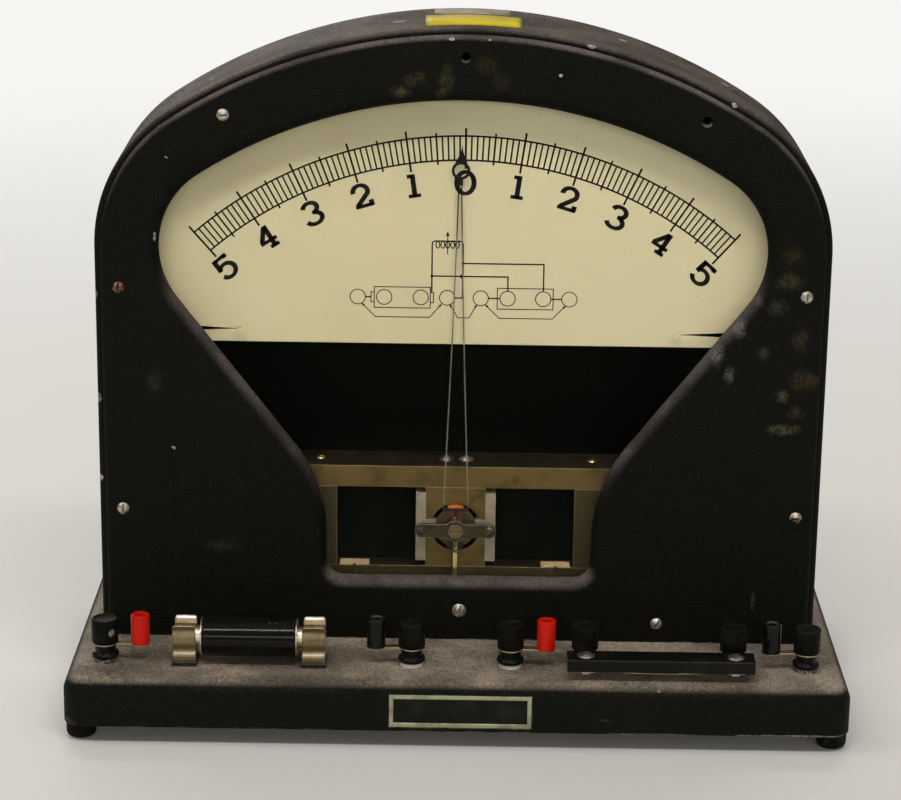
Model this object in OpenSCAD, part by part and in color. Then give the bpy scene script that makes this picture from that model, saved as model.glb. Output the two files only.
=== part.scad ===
// Demonstration galvanometer on a base with binding posts.
// Millimetres, +Z up, front towards -Y, origin under the middle of the base on the table.

/* [Base] */
// Width of the base
base_w = 391.6; // [380:0.2:420]
// Depth of the base
base_d = 192; // [180:1:220]
// Height of the base without its feet
base_h = 24.4; // [22:0.2:36]
// Wall of the hollow base
base_wall = 4; // [3:0.5:6]
// Radius of the base's upright corners
base_corner_r = 10; // [8:1:14]
// Rounding of the base's top edge
base_edge_r = 5; // [3:0.5:6]
// Thickness of the cover under the base
cover_t = 2; // [1:0.5:3]
// Depth of the base in front of the bezel
apron_d = 62.5; // [58:0.5:70]

/* [Feet] */
// Height that the feet lift the base
foot_h = 10; // [8:0.2:16]
// Diameter of a foot
foot_d = 15; // [13:0.5:20]
// Rounding of a foot's lower edge
foot_r = 3; // [1:0.5:3.5]
// Distance from the base's sides to a foot's centre
foot_inset = 7.8; // [7.5:0.1:22]
// Distance from the base's front and back to a foot's centre
foot_setback = 14; // [9:0.5:22]

/* [Case] */
// Width of the case shell
case_w = 366.4; // [350:1:376]
// Height of the case above the base
case_h = 315.8; // [312:0.2:330]
// Depth of the case shell
case_d = 64; // [58:1:70]
// Radius of the arched top
arch_r = 267; // [255:1:280]
// Radius of the shoulders beside the arch
shoulder_r = 81.3; // [76:0.5:88]
// Wall of the case shell
case_wall = 4; // [3.5:0.5:5]
// Rounding of the case shell's front and back edges
case_edge_r = 3; // [1:0.5:3]
// Radius of the lugs that take the bezel screws
lug_r = 5; // [4:0.5:6]
// Length of those lugs
lug_l = 12; // [8:1:16]

/* [Bezel] */
// Thickness of the bezel plate
bezel_t = 4; // [3:0.5:6]
// How far the bezel's outline lies inside the case's
bezel_inset = 3.3; // [2:0.1:5]
// Rounding of the bezel's outer edge
bezel_edge_r = 3; // [1:0.5:3]
// Radius of the lip rolled round the window
lip_r = 6.6; // [4:0.2:6.8]
// Depth of the lip behind the bezel's face
lip_d = 7; // [7:0.2:9]
// Width of the lip's seat behind the bezel plate
lip_w = 9; // [8:0.5:10]

/* [Window] */
// Height of the window's top above the base
window_top = 279.9; // [270:0.5:286]
// Radius of the window's arched top
window_r = 241; // [230:1:255]
// Width of the window at its shoulders
window_w = 302.2; // [290:1:312]
// Radius of the window's shoulders
window_shoulder_r = 43.3; // [36:0.5:50]
// Angle of the sloping sides from upright
window_slope = 37.7; // [34:0.1:40]
// Radius where the slopes turn into the window's foot
window_waist_r = 78.8; // [60:0.5:84]
// Width of the window's foot
window_foot_w = 135.4; // [130:0.2:142]
// Height of the window's lower edge above the base
window_bottom = 32.6; // [31:0.2:35]
// Radius of the window's lower corners
window_foot_r = 9.3; // [6:0.1:12]
// Thickness of the glass
glass_t = 2.3; // [2:0.1:2.5]
// How far the glass runs past the window's edge
glass_lap = 6; // [5:0.5:7]
// Width of a glass clip
clip_w = 10; // [8:0.5:12]
// Thickness of a glass clip
clip_t = 0.8; // [0.6:0.1:1]
// Length of a glass clip's foot on the bezel
clip_foot = 8; // [6:0.5:9]

/* [Bezel screws] */
// Sideways place of the upper pair
screw_top_x = 118; // [112:1:124]
// Height of the upper pair above the base
screw_top_h = 272.2; // [268:0.2:276]
// Height of the middle screw above the base
screw_mid_h = 302.1; // [299:0.2:304]
// Sideways place of the side screws
screw_side_x = 170.8; // [169:0.1:172]
// Height of the upper side pair above the base
screw_side_h = 184.6; // [170:0.2:195]
// Height of the lower side pair above the base
screw_low_h = 68.8; // [60:0.2:90]
// Sideways place of the bottom pair
screw_foot_x = 102; // [90:1:115]
// Height of the bottom pair above the base
screw_foot_h = 10.2; // [9:0.1:12]
// Diameter of a bezel screw's head
screw_head_d = 6.4; // [5.5:0.1:7]
// Diameter of a bezel screw's shank
screw_d = 3.4; // [3:0.1:4]

/* [Dial] */
// Depth of the dial's face behind the bezel's face
dial_set = 18.6; // [18.2:0.1:20]
// Thickness of the dial plate
dial_t = 1; // [0.8:0.1:1.5]
// How far the dial runs past the window's edge
dial_lap = 13; // [11:0.5:15]
// Height of the dial's lower edge above the base
dial_bottom = 152.8; // [145:0.2:158]
// Diameter of a dial post
dial_post_d = 8; // [6:0.5:9]
// Angle of a pointer stop from upright
stop_angle = 46.4; // [46.2:0.1:48]
// Height of a pointer stop above the dial's lower edge
stop_h = 6.5; // [5:0.5:8]
// Reach of a pointer stop in front of the dial
stop_reach = 4; // [3.5:0.1:5]
// Width of a pointer stop
stop_w = 1.6; // [1.2:0.1:2]
// Length of the slit beside a pointer stop
slit_l = 28; // [20:1:32]
// Height of the slit at its open end
slit_h = 3; // [2:0.2:4]

/* [Movement] */
// Sideways place of the movement
movement_x = -1.9; // [-3:0.1:3]
// Height of the pivot above the base
pivot_h = 54.9; // [54:0.1:56]
// Depth of the movement's front behind the bezel's face
movement_set = 18; // [17.9:0.1:18.4]
// Depth of the movement frame
yoke_d = 24.4; // [22:0.2:27]
// Half length of the top and bottom bars
bar_half = 84; // [80:0.5:90]
// Height of the top and bottom bars
bar_h = 11.3; // [8:0.1:12]
// Height of the opening between the bars
opening_h = 42.9; // [40:0.1:44]
// Half width of the opening between the uprights
opening_half = 61.1; // [56:0.1:64]
// Width of an upright
upright_w = 17.8; // [8:0.1:20]
// Half width of the pole pieces
pole_half = 15.45; // [15:0.05:17]
// Radius of the bore between the pole pieces
bore_r = 12.8; // [12.5:0.1:13]
// Half height of the gap between the pole pieces
pole_gap_half = 4.1; // [4:0.1:5]
// Width of a side strip
strip_w = 5; // [4:0.1:6]
// Height of a side strip
strip_h = 36.9; // [30:0.1:39]
// Depth that the magnets lie behind the frame's front
magnet_set = 12; // [9:0.5:14]
// Diameter of a leg under the movement
leg_d = 10; // [8:0.5:12]
// Sideways place of a leg from the movement's middle
leg_x = 40; // [30:1:50]

/* [Moving coil] */
// Radius of the core
core_r = 10.7; // [10.4:0.1:10.9]
// Width of the coil's side across the core
coil_w = 8.2; // [7:0.1:9]
// Thickness of the winding
coil_t = 1.1; // [0.9:0.05:1.2]
// Free space between the coil and what it turns in
coil_gap = 0.5; // [0.4:0.05:0.6]
// Radius of a pivot
pivot_r = 0.6; // [0.4:0.05:0.8]
// Radial clearance of a running fit
run_gap = 0.05; // [0.03:0.01:0.08]
// Thickness of a bridge
bridge_t = 2; // [1.6:0.1:2.2]
// Space between the front bridge and the pole pieces
bridge_gap = 4.5; // [4.4:0.1:4.7]
// Half length of the bridges
bridge_half = 20.85; // [20:0.05:22]
// Height of the bridges
bridge_h = 7.2; // [6.4:0.1:8]
// Place of a bridge screw from the pivot
bridge_screw_x = 17.4; // [17.3:0.1:18]
// Radius of the bridge's round middle
bridge_eye_r = 5.6; // [5:0.1:6.5]
// Radius of a jewel screw's nut
jewel_nut_r = 4; // [3.4:0.1:4.4]
// Radius of a jewel screw
jewel_r = 2; // [1.8:0.1:2.2]
// Radius of the outer turn of a hairspring
hair_r = 5.2; // [4.8:0.1:5.6]
// Turns of a hairspring
hair_turns = 3; // [3:1:4]

/* [Pointer] */
// Reach of the pointer's tip from the pivot
pointer_l = 200.2; // [196:0.2:205]
// Radius of a pointer wire
wire_r = 0.3; // [0.25:0.05:0.45]
// Half spread of the wires at the coil
wire_spread = 6.4; // [5.8:0.1:8]
// Outer radius of the ring under the tip
ring_r = 4.6; // [3.5:0.1:5.4]
// Width of the ring's metal
ring_w = 1.4; // [1:0.1:1.8]
// Length of the spear above the ring
spear_l = 7.8; // [6.5:0.1:11]
// Half width of the spear
spear_half = 3.1; // [2.5:0.1:4]
// Lean of the ring and spear to the right
head_lean = 3; // [0:0.5:5]

/* [Zero set] */
// Sideways place of the zero screw
zero_x = 0.5; // [-1:0.1:1]
// Height of the zero screw above the base
zero_h = 16; // [15.4:0.1:16.2]
// Diameter of the zero screw's head
zero_head_d = 7.4; // [6.6:0.1:8.4]
// Diameter of the zero screw's shank
zero_d = 5; // [4:0.1:5.6]
// Throw of the zero screw's pin
zero_throw = 4; // [3.6:0.1:4.2]
// Radius of the zero screw's pin
zero_pin_r = 0.9; // [0.7:0.1:1]
// Free space beside the pin in the lever's fork
fork_gap = 0.5; // [0.5:0.05:0.7]
// Width of the zero lever
lever_w = 2.2; // [1.8:0.1:2.6]
// Thickness of the zero lever
lever_t = 0.8; // [0.6:0.1:0.9]

/* [Binding posts] */
// Place of the post row from the base's front
post_row = 28.1; // [26:0.1:30]
// Sideways place of the outer posts, as a share of the base's width
post_outer_share = 0.45; // [0.44:0.001:0.456]
// Sideways place of the inner posts, as a share of the base's width
post_inner_share = 0.0633; // [0.06:0.0001:0.07]
// How far the outer posts lie right of the middle
outer_shift = -0.8; // [-2:0.1:2]
// How far the inner posts lie right of the middle
inner_shift = 1.9; // [-3:0.1:3]
// Sideways place of the shunt's left post, as a share of the base's width
shunt_post_share = 0.1635; // [0.16:0.0005:0.172]
// Distance between the shunt's posts, as a share of the base's width
shunt_pitch_share = 0.19; // [0.18:0.001:0.196]
// Diameter of a post's stud
stud_d = 3.5; // [3:0.1:4]
// Diameter of a knob
knob_d = 13.4; // [12.6:0.1:14]
// Height of a knob
knob_h = 12.6; // [11:0.1:18]
// Diameter of a collar's flange
flange_d = 13.7; // [13:0.1:15.5]
// Height of a collar's flange
flange_h = 3.2; // [3:0.1:4.4]
// Diameter of a collar's neck
neck_d = 10.8; // [10:0.1:12.4]
// Height of a collar's neck
neck_h = 4.1; // [3.6:0.1:7]
// Thickness of a post's washer
washer_t = 1.9; // [0.6:0.1:2.4]
// Diameter of a post's washer
washer_d = 11.6; // [10.6:0.1:13]
// Thickness of the strips clamped under the knobs
strip_t = 0.5; // [0.4:0.1:0.7]
// Free space above and below a clamped strip
clamp_gap = 0.15; // [0.1:0.05:0.2]
// Reach of a jack strip from its post
jack_x = 17.9; // [16:0.1:19]
// Drop of a jack strip from its post to its sleeve
jack_drop = 0.3; // [0.2:0.1:2.2]
// Diameter of a jack sleeve
sleeve_d = 9.4; // [8.6:0.1:10.6]
// Height of a jack sleeve
sleeve_h = 15.4; // [13:0.1:22]
// Diameter of a jack sleeve's bore
sleeve_bore_d = 4.2; // [4:0.1:5]

/* [Resistor] */
// Sideways place of the resistor's middle, as a share of the base's width to the left
resistor_share = 0.2666; // [0.26:0.0002:0.274]
// Height of the resistor's axis above the base
resistor_h = 13.7; // [13:0.1:16]
// Length of the resistor's body
resistor_l = 47; // [42:0.5:50]
// Diameter of the resistor's body
resistor_d = 19.8; // [17:0.1:22]
// Length of a ferrule
ferrule_l = 14.6; // [13.5:0.1:17]
// Diameter of a ferrule
ferrule_d = 10.7; // [9.5:0.1:12]
// Width of a fuse clip along the resistor
fuse_clip_w = 11.4; // [9:0.1:12]
// Thickness of a fuse clip's metal
fuse_clip_t = 0.8; // [0.6:0.1:1]
// Height of a fuse clip's jaws above its insulator
jaw_h = 19.9; // [18:0.1:22]
// Free space between a jaw and the ferrule
jaw_gap = 0.15; // [0.1:0.05:0.3]
// Thickness of the insulator under a clip
insulator_t = 2; // [1.5:0.1:3]

/* [Shunt] */
// Length of the shunt bar
shunt_l = 93.2; // [90:0.1:98]
// Depth of the shunt bar
shunt_d = 13.1; // [11:0.1:13.4]
// Height of the shunt bar
shunt_h = 6.4; // [6:0.1:8]
// Height of the shunt bar's top above the base
shunt_top = 12.1; // [11.9:0.1:13]
// Free space between the shunt bar and the knobs' row
shunt_clear = 0.4; // [0.3:0.1:0.8]
// Diameter of a shunt screw's head
shunt_head_d = 9; // [8:0.1:10]
// Width of a shunt tongue
tongue_w = 9; // [8:0.1:10]
// Sag of the resistance strip under the bar
strip_sag = 1.2; // [0.6:0.1:1.5]

/* [Plates] */
// Width of the name plate
plate_w = 70.8; // [60:0.2:80]
// Height of the name plate
plate_h = 17; // [14:0.2:17]
// Height of the name plate's lower edge above the base's underside
plate_low = 2.3; // [1.5:0.1:2.4]
// Thickness of the name plate
plate_t = 0.9; // [0.6:0.1:1.2]
// Width of the plate's raised border
plate_border = 2.2; // [1:0.1:2.5]
// Sideways place of the name plate
plate_x = 1.9; // [-4:0.1:4]

/* [Hidden] */
$fn = 64;
cut = 1;
hull_fn = 32;

// Heights and depths that the pieces share
base_top = foot_h + base_h;
cavity_top = base_top - base_wall;
bezel_y = -base_d / 2 + apron_d;
shell_y = bezel_y + bezel_t;
back_y = shell_y + case_d;
lip_y = bezel_y + lip_d;
glass_back = lip_y + glass_t;
dial_y = bezel_y + dial_set;
case_floor = base_top + case_wall;
post_outer_x = post_outer_share * base_w;
post_inner_x = post_inner_share * base_w;
shunt_post_x = shunt_post_share * base_w;
shunt_pitch = shunt_pitch_share * base_w;
resistor_x = -resistor_share * base_w;
foot_x = base_w / 2 - foot_inset;
foot_y = base_d / 2 - foot_setback;

// Outline of the case: an arch with rounded shoulders on upright sides
arch_z = base_top + case_h - arch_r;
shoulder_x = case_w / 2 - shoulder_r;
shoulder_z = arch_z + sqrt(pow(arch_r - shoulder_r, 2) - pow(shoulder_x, 2));
shoulder_a = atan2(shoulder_z - arch_z, shoulder_x);

// Outline of the window: an arch, round shoulders, sloping sides and a narrow foot
window_arch_z = base_top + window_top - window_r;
window_shoulder_x = window_w / 2 - window_shoulder_r;
window_shoulder_z = window_arch_z
    + sqrt(pow(window_r - window_shoulder_r, 2) - pow(window_shoulder_x, 2));
window_shoulder_a = atan2(window_shoulder_z - window_arch_z, window_shoulder_x);
slope_x = window_shoulder_x + window_shoulder_r * cos(window_slope);
slope_z = window_shoulder_z - window_shoulder_r * sin(window_slope);
waist_x = window_foot_w / 2 + window_waist_r;
waist_run = (slope_x - waist_x + window_waist_r * cos(window_slope)) / sin(window_slope);
waist_z = slope_z - waist_run * cos(window_slope) - window_waist_r * sin(window_slope);
window_foot_z = base_top + window_bottom;

function arc(c, r, from, to, steps) =
    [for (i = [0:steps]) let (a = from + (to - from) * i / steps) c + r * [cos(a), sin(a)]];
function mirrored(half) =
    concat(half, [for (i = [len(half) - 1:-1:0]) [-half[i].x, half[i].y]]);
function case_half(grow) = concat(
    arc([0, arch_z], arch_r + grow, 89, shoulder_a, 16),
    arc([shoulder_x, shoulder_z], shoulder_r + grow, shoulder_a - 4, 0, 12),
    [[case_w / 2 + grow, base_top]]);
function window_half(grow) = concat(
    arc([0, window_arch_z], window_r + grow, 89, window_shoulder_a, 14),
    arc([window_shoulder_x, window_shoulder_z], window_shoulder_r + grow,
        window_shoulder_a - 6, -window_slope, 12),
    arc([waist_x, waist_z], window_waist_r - grow, 180 - window_slope, 180, 8),
    arc([window_foot_w / 2 - window_foot_r, window_foot_z + window_foot_r], window_foot_r + grow,
        0, -90, 6));

module case_outline(grow) polygon(mirrored(case_half(grow)));
module window_outline(grow) polygon(mirrored(window_half(grow)));

// Extrudes an outline drawn in X and Z along Y
module along_y(from, to) translate([0, to, 0]) rotate([90, 0, 0]) linear_extrude(to - from) children();

// Extrudes a profile drawn in Y and Z along X
module along_x(from, to) translate([from, 0, 0]) rotate([90, 0, 90]) linear_extrude(to - from) children();

// Rod along Y at a place in X and Z
module rod_y(r, from, to) translate([0, to, 0]) rotate([90, 0, 0]) cylinder(r = r, h = to - from);

// Hexagonal nut along Z
module hex_nut(across_r, t, bore) difference() {
    cylinder(r = across_r, h = t, $fn = 6);
    translate([0, 0, -cut]) cylinder(r = bore, h = t + 2 * cut);
}

// Round slotted screw head with a shank below it, head seat at the origin, pointing up
head_rise = 0.26;
flat_rise = 0.16;
slot_share = 0.16;
slot_floor = 0.25;
module screw(head_d, shank_d, shank_l, slot_a = 0, rise_share = head_rise) {
    rise = rise_share * head_d;
    dome_r = (pow(head_d / 2, 2) + pow(rise, 2)) / (2 * rise);
    difference() {
        intersection() {
            translate([0, 0, rise - dome_r]) sphere(r = dome_r);
            cylinder(d = head_d, h = rise + cut);
        }
        rotate([0, 0, slot_a]) translate([-head_d, -slot_share * head_d / 2, slot_floor * rise])
            cube([2 * head_d, slot_share * head_d, rise]);
    }
    translate([0, 0, -shank_l]) cylinder(d = shank_d, h = shank_l);
}

// Base: a hollow casting with rounded top edges
module base_corner() {
    rotate_extrude($fn = hull_fn) {
        square([base_corner_r - base_edge_r, base_h]);
        square([base_corner_r, base_h - base_edge_r]);
        translate([base_corner_r - base_edge_r, base_h - base_edge_r]) intersection() {
            circle(base_edge_r, $fn = hull_fn);
            square(base_edge_r);
        }
    }
}
module corners(x, y) for (i = [-1, 1], j = [-1, 1]) translate([i * x, j * y, 0]) children();
module plan(w, d, r) {
    square([w, d - 2 * r], center = true);
    square([w - 2 * r, d], center = true);
    for (i = [-1, 1], j = [-1, 1]) translate([i * (w / 2 - r), j * (d / 2 - r)]) circle(r);
}
boss_r = 6;
foot_screw_d = 3.5;
shell_screw_x = 120;
shell_screw_y = 14;
shell_screw_d = 4;
hole_gap = 0.2;
stud_bottom = cavity_top - 7;
row_y = -base_d / 2 + post_row;
clip_x = resistor_l / 2 + ferrule_l - fuse_clip_w / 2;
post_x = [outer_shift - post_outer_x, inner_shift - post_inner_x, inner_shift + post_inner_x,
    outer_shift + post_outer_x, shunt_post_x, shunt_post_x + shunt_pitch];
lead_x = 52;
lead_r = 0.7;
lead_hole_r = 1.5;
yoke_y = bezel_y + movement_set;
lead_y = yoke_y - lead_r - hole_gap;
clip_screw_d = 3;
plate_z = foot_h + plate_low + plate_h / 2;
module base() color("#2b2a2a") difference() {
    translate([0, 0, foot_h]) hull()
        corners(base_w / 2 - base_corner_r, base_d / 2 - base_corner_r) base_corner();
    difference() {
        translate([0, 0, foot_h - cut]) linear_extrude(base_h - base_wall + cut)
            plan(base_w - 2 * base_wall, base_d - 2 * base_wall, base_corner_r - base_wall);
        translate([0, 0, foot_h + cover_t]) corners(foot_x, foot_y)
            cylinder(r = boss_r, h = base_h - base_wall);
    }
    corners(foot_x, foot_y) translate([0, 0, foot_h]) cylinder(d = foot_screw_d, h = base_h - base_wall);
    for (x = post_x) translate([x, row_y, cavity_top - cut])
        cylinder(d = stud_d + 2 * hole_gap, h = base_wall + 2 * cut);
    for (i = [-1, 1]) translate([resistor_x + i * clip_x, row_y, cavity_top - cut])
        cylinder(d = clip_screw_d + 2 * hole_gap, h = base_wall + 2 * cut);
    corners(shell_screw_x, shell_screw_y) translate([0, 0, cavity_top - cut])
        cylinder(d = shell_screw_d + 2 * hole_gap, h = base_wall + 2 * cut);
    for (i = [-1, 1]) translate([movement_x + i * lead_x, lead_y, cavity_top - cut])
        cylinder(r = lead_hole_r, h = base_wall + 2 * cut);
    translate([plate_x - plate_w / 2, -base_d / 2 - cut, plate_z - plate_h / 2])
        cube([plate_w, plate_t + cut, plate_h]);
}

// Bottom cover, feet and the screws that hold both
foot_head_d = 6;
foot_head_seat = foot_h - 5;
module base_cover() color("#3a3a38") translate([0, 0, foot_h]) difference() {
    linear_extrude(cover_t) plan(base_w - 2 * base_wall - 2 * hole_gap,
        base_d - 2 * base_wall - 2 * hole_gap, base_corner_r - base_wall);
    corners(foot_x, foot_y) translate([0, 0, -cut])
        cylinder(d = foot_screw_d + 2 * hole_gap, h = cover_t + 2 * cut);
}
module rubber_feet() color("#1c1b1a") corners(foot_x, foot_y) difference() {
    rotate_extrude() {
        square([foot_d / 2 - foot_r, foot_h]);
        translate([0, foot_r]) square([foot_d / 2, foot_h - foot_r]);
        translate([foot_d / 2 - foot_r, foot_r]) circle(foot_r);
    }
    translate([0, 0, -cut]) cylinder(d = foot_head_d + 2 * hole_gap, h = foot_head_seat + cut);
    cylinder(d = foot_screw_d + 2 * hole_gap, h = foot_h + cut);
}
foot_screw_end = 12;
module foot_screws() color("#9a978f") corners(foot_x, foot_y) translate([0, 0, foot_head_seat])
    mirror([0, 0, 1]) screw(foot_head_d, foot_screw_d, foot_h + foot_screw_end - foot_head_seat);

// Case shell, open at the front, with lugs for the bezel screws
case_steps = 3;
module case_body() hull() {
    along_y(shell_y + case_edge_r, back_y - case_edge_r) case_outline(0);
    for (i = [1:case_steps]) let (a = 90 * i / case_steps, in = case_edge_r * (1 - cos(a)),
            out = case_edge_r * sin(a))
        along_y(shell_y + case_edge_r - out, back_y - case_edge_r + out) case_outline(-in);
}
arch_turn = atan2(screw_top_h + base_top - arch_z, screw_top_x);
bezel_holes = [
    [[-screw_top_x, screw_top_h + base_top], 180 - arch_turn],
    [[-screw_side_x, screw_side_h + base_top], 180],
    [[screw_side_x, screw_side_h + base_top], 0],
    [[-screw_side_x, screw_low_h + base_top], 180],
    [[screw_side_x, screw_low_h + base_top], 0],
    [[screw_foot_x, screw_foot_h + base_top], -90],
    [[0, screw_mid_h + base_top], 90],
    [[screw_top_x, screw_top_h + base_top], arch_turn]];
empty_holes = 2;
lug_reach = 40;
module lug() {
    circle(lug_r);
    translate([0, -lug_r]) square([lug_reach, 2 * lug_r]);
}
module case_shell() color("#242323") difference() {
    case_body();
    difference() {
        along_y(shell_y - cut, back_y - case_wall) intersection() {
            case_outline(-case_wall);
            translate([-case_w, case_floor]) square([2 * case_w, case_h]);
        }
        along_y(shell_y, shell_y + lug_l)
            for (hole = bezel_holes) translate(hole[0]) rotate(hole[1]) lug();
    }
    for (hole = bezel_holes) translate([hole[0].x, 0, hole[0].y])
        rod_y(screw_d / 2, shell_y - cut, shell_y + lug_l + cut);
    corners(shell_screw_x, shell_screw_y) translate([0, 0, base_top - cut])
        cylinder(d = shell_screw_d, h = case_wall + 2 * cut);
    for (i = [-1, 1]) translate([movement_x + i * lead_x, lead_y, base_top - cut])
        cylinder(r = lead_hole_r, h = case_wall + 2 * cut);
}
shell_head_d = 8;
module shell_screws() color("#a5a29a") corners(shell_screw_x, shell_screw_y) translate([0, 0, cavity_top])
    mirror([0, 0, 1]) screw(shell_head_d, shell_screw_d, base_wall + case_wall);

// Front bezel: a plate with a rounded edge and a lip rolled round the window
lip_steps = 4;
loops = concat(
    [[lip_r, bezel_y - cut]],
    [for (i = [0:lip_steps]) let (a = 90 * i / lip_steps)
        [lip_r * (1 - sin(a)), bezel_y + lip_r * (1 - cos(a))]],
    [[0, lip_y + cut]]);
half_n = len(window_half(0));
ring_n = 2 * half_n;
function loop_points(k) = [for (p = mirrored(window_half(loops[k][0]))) [p.x, loops[k][1], p.y]];
function side_faces(k) = [for (i = [0:ring_n - 1]) let (j = (i + 1) % ring_n)
    [k * ring_n + i, (k + 1) * ring_n + i, (k + 1) * ring_n + j, k * ring_n + j]];
function cap_faces(k, front) = [for (i = [0:half_n - 2]) let (o = k * ring_n,
    f = [o + i, o + i + 1, o + ring_n - 2 - i, o + ring_n - 1 - i]) front ? f : [f[3], f[2], f[1], f[0]]];
module window_cutter() polyhedron(
    [for (k = [0:len(loops) - 1]) each loop_points(k)],
    concat([for (k = [0:len(loops) - 2]) each side_faces(k)],
        cap_faces(0, true), cap_faces(len(loops) - 1, false)));
module front_bezel() color("#201f1f") difference() {
    union() {
        hull() {
            along_y(bezel_y + bezel_edge_r, shell_y) case_outline(-bezel_inset);
            for (i = [1:case_steps]) let (a = 90 * i / case_steps)
                along_y(bezel_y + bezel_edge_r * (1 - sin(a)), shell_y)
                    case_outline(-bezel_inset - bezel_edge_r * (1 - cos(a)));
        }
        along_y(bezel_y + bezel_edge_r, lip_y) window_outline(lip_w);
    }
    window_cutter();
    for (hole = bezel_holes) translate([hole[0].x, 0, hole[0].y])
        rod_y(screw_d / 2 + hole_gap, bezel_y - cut, shell_y + cut);
    translate([zero_x, 0, base_top + zero_h]) rod_y(zero_d / 2 + run_gap, bezel_y - cut, shell_y + cut);
}
slot_turn = 37;
slot_turns = [5, 90, 86, 84, 4, 50];
zero_slot_turn = 65;
module bezel_screws() color("#b9b4a6")
    for (i = [0:len(bezel_holes) - empty_holes - 1])
        translate([bezel_holes[i][0].x, bezel_y, bezel_holes[i][0].y])
        rotate([90, 0, 0]) screw(screw_head_d, screw_d, bezel_t + lug_l, slot_turns[i]);

// Window glass and the clips that hold it against the lip
module window_glass() color("#dfe8e8", 0.25) along_y(lip_y, glass_back) window_outline(glass_lap);
clip_a = 71;
clip_bottom_x = 32;
clip_places = [
    [[window_w / 2, window_shoulder_z], 0], [[-window_w / 2, window_shoulder_z], 180],
    [[0, window_arch_z] + window_r * [cos(clip_a), sin(clip_a)], clip_a],
    [[0, window_arch_z] + window_r * [-cos(clip_a), sin(clip_a)], 180 - clip_a],
    [[clip_bottom_x, window_foot_z], -90], [[-clip_bottom_x, window_foot_z], -90]];
clip_hold = 4;
module glass_clip() {
    out = lip_w + 2 * hole_gap;
    translate([0, 0, -clip_w / 2]) linear_extrude(clip_w) {
        translate([glass_lap - clip_hold, glass_back])
            square([out + clip_t - glass_lap + clip_hold, clip_t]);
        translate([out, shell_y]) square([clip_t, glass_back - shell_y + clip_t]);
        translate([out, shell_y]) square([clip_foot, clip_t]);
    }
}
module glass_clips() color("#8d8a80") for (place = clip_places)
    translate([place[0].x, 0, place[0].y]) rotate([0, -place[1], 0]) glass_clip();

// Dial plate with its pointer stops, on posts from the back of the case
pivot_z = base_top + pivot_h;
dial_bottom_z = base_top + dial_bottom;
stop_z = dial_bottom_z + stop_h;
stop_x = (stop_z - pivot_z) * tan(stop_angle);
dial_screw_d = 3;
dial_post_places = [for (i = [-1, 1], p = [
        [window_w / 2 + dial_lap / 2, window_shoulder_z],
        [0, window_arch_z] + (window_r + dial_lap / 2) * [cos(clip_a), sin(clip_a)]]) [i * p.x, p.y]];
module dial_plate() color("#e9e2c6") {
    along_y(dial_y, dial_y + dial_t) difference() {
        intersection() {
            window_outline(dial_lap);
            translate([-case_w, dial_bottom_z]) square([2 * case_w, case_h]);
        }
        for (i = [-1, 1]) mirror([i < 0 ? 1 : 0, 0]) translate([stop_x + i * movement_x, stop_z])
            polygon([[0, 0], [slit_l, -slit_h / 2], [slit_l, slit_h / 2]]);
        for (p = dial_post_places) translate(p) circle(d = dial_screw_d + 2 * hole_gap);
    }
    for (i = [-1, 1]) translate([movement_x + i * stop_x, 0, stop_z]) rotate([0, i * stop_angle, 0])
        translate([-stop_w / 2, dial_y - stop_reach, -stop_w])
            cube([stop_w, stop_reach + dial_t, 2 * stop_w]);
}
module dial_posts() color("#87857e") for (p = dial_post_places) translate([p.x, 0, p.y]) difference() {
    rod_y(dial_post_d / 2, dial_y + dial_t, back_y - case_wall);
    rod_y(dial_screw_d / 2, dial_y, dial_y + dial_post_d);
}
dial_head_d = 5;
module dial_screws() color("#b9b4a6") for (p = dial_post_places) translate([p.x, dial_y, p.y])
    rotate([90, 0, 0]) screw(dial_head_d, dial_screw_d, dial_t + dial_post_d - 2 * cut);

// Movement frame: two bars, two uprights, pole pieces, side strips and magnets
yoke_back = yoke_y + yoke_d;
opening_low = pivot_z - opening_h / 2;
opening_high = opening_low + opening_h;
bar_mid_y = yoke_y + yoke_d / 2;
pole_screw_x = 5;
pole_screw_d = 3;
frame_screw_x = opening_half + upright_w / 2;
frame_screw_d = 3;
core_front = yoke_y + 0.1;
strip_low = pivot_z - strip_h / 2;
arm_h = 3.2;
arm_d = 4;
bridge_screw_d = 2.4;
module at_movement() translate([movement_x, 0, 0]) children();
module block(x0, x1, y0, y1, z0, z1) translate([x0, y0, z0]) cube([x1 - x0, y1 - y0, z1 - z0]);
module both_sides() for (i = [0, 1]) mirror([i, 0, 0]) children();
module upright_holes(z, h) both_sides() translate([frame_screw_x, bar_mid_y, z])
    cylinder(d = frame_screw_d, h = h);
module top_bar() color("#85724a") at_movement() difference() {
    block(-bar_half, bar_half, yoke_y, yoke_back, opening_high, opening_high + bar_h);
    both_sides() translate([pole_screw_x, bar_mid_y, opening_high - cut])
        cylinder(d = pole_screw_d, h = bar_h + 2 * cut);
    upright_holes(opening_high - cut, bar_h + 2 * cut);
}
module bottom_bar() color("#85724a") at_movement()
    block(-bar_half, bar_half, yoke_y, yoke_back, opening_low - bar_h, opening_low);
frame_screw_l = 18;
module uprights() color("#7c6a45") at_movement() difference() {
    both_sides() block(opening_half, opening_half + upright_w, yoke_y, yoke_back, opening_low, opening_high);
    upright_holes(opening_high + bar_h - frame_screw_l, frame_screw_l);
}
pole_head_d = 5.6;
pole_screw_l = 16;
pole_washer_d = 7.6;
pole_washer_t = 0.6;
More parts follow.
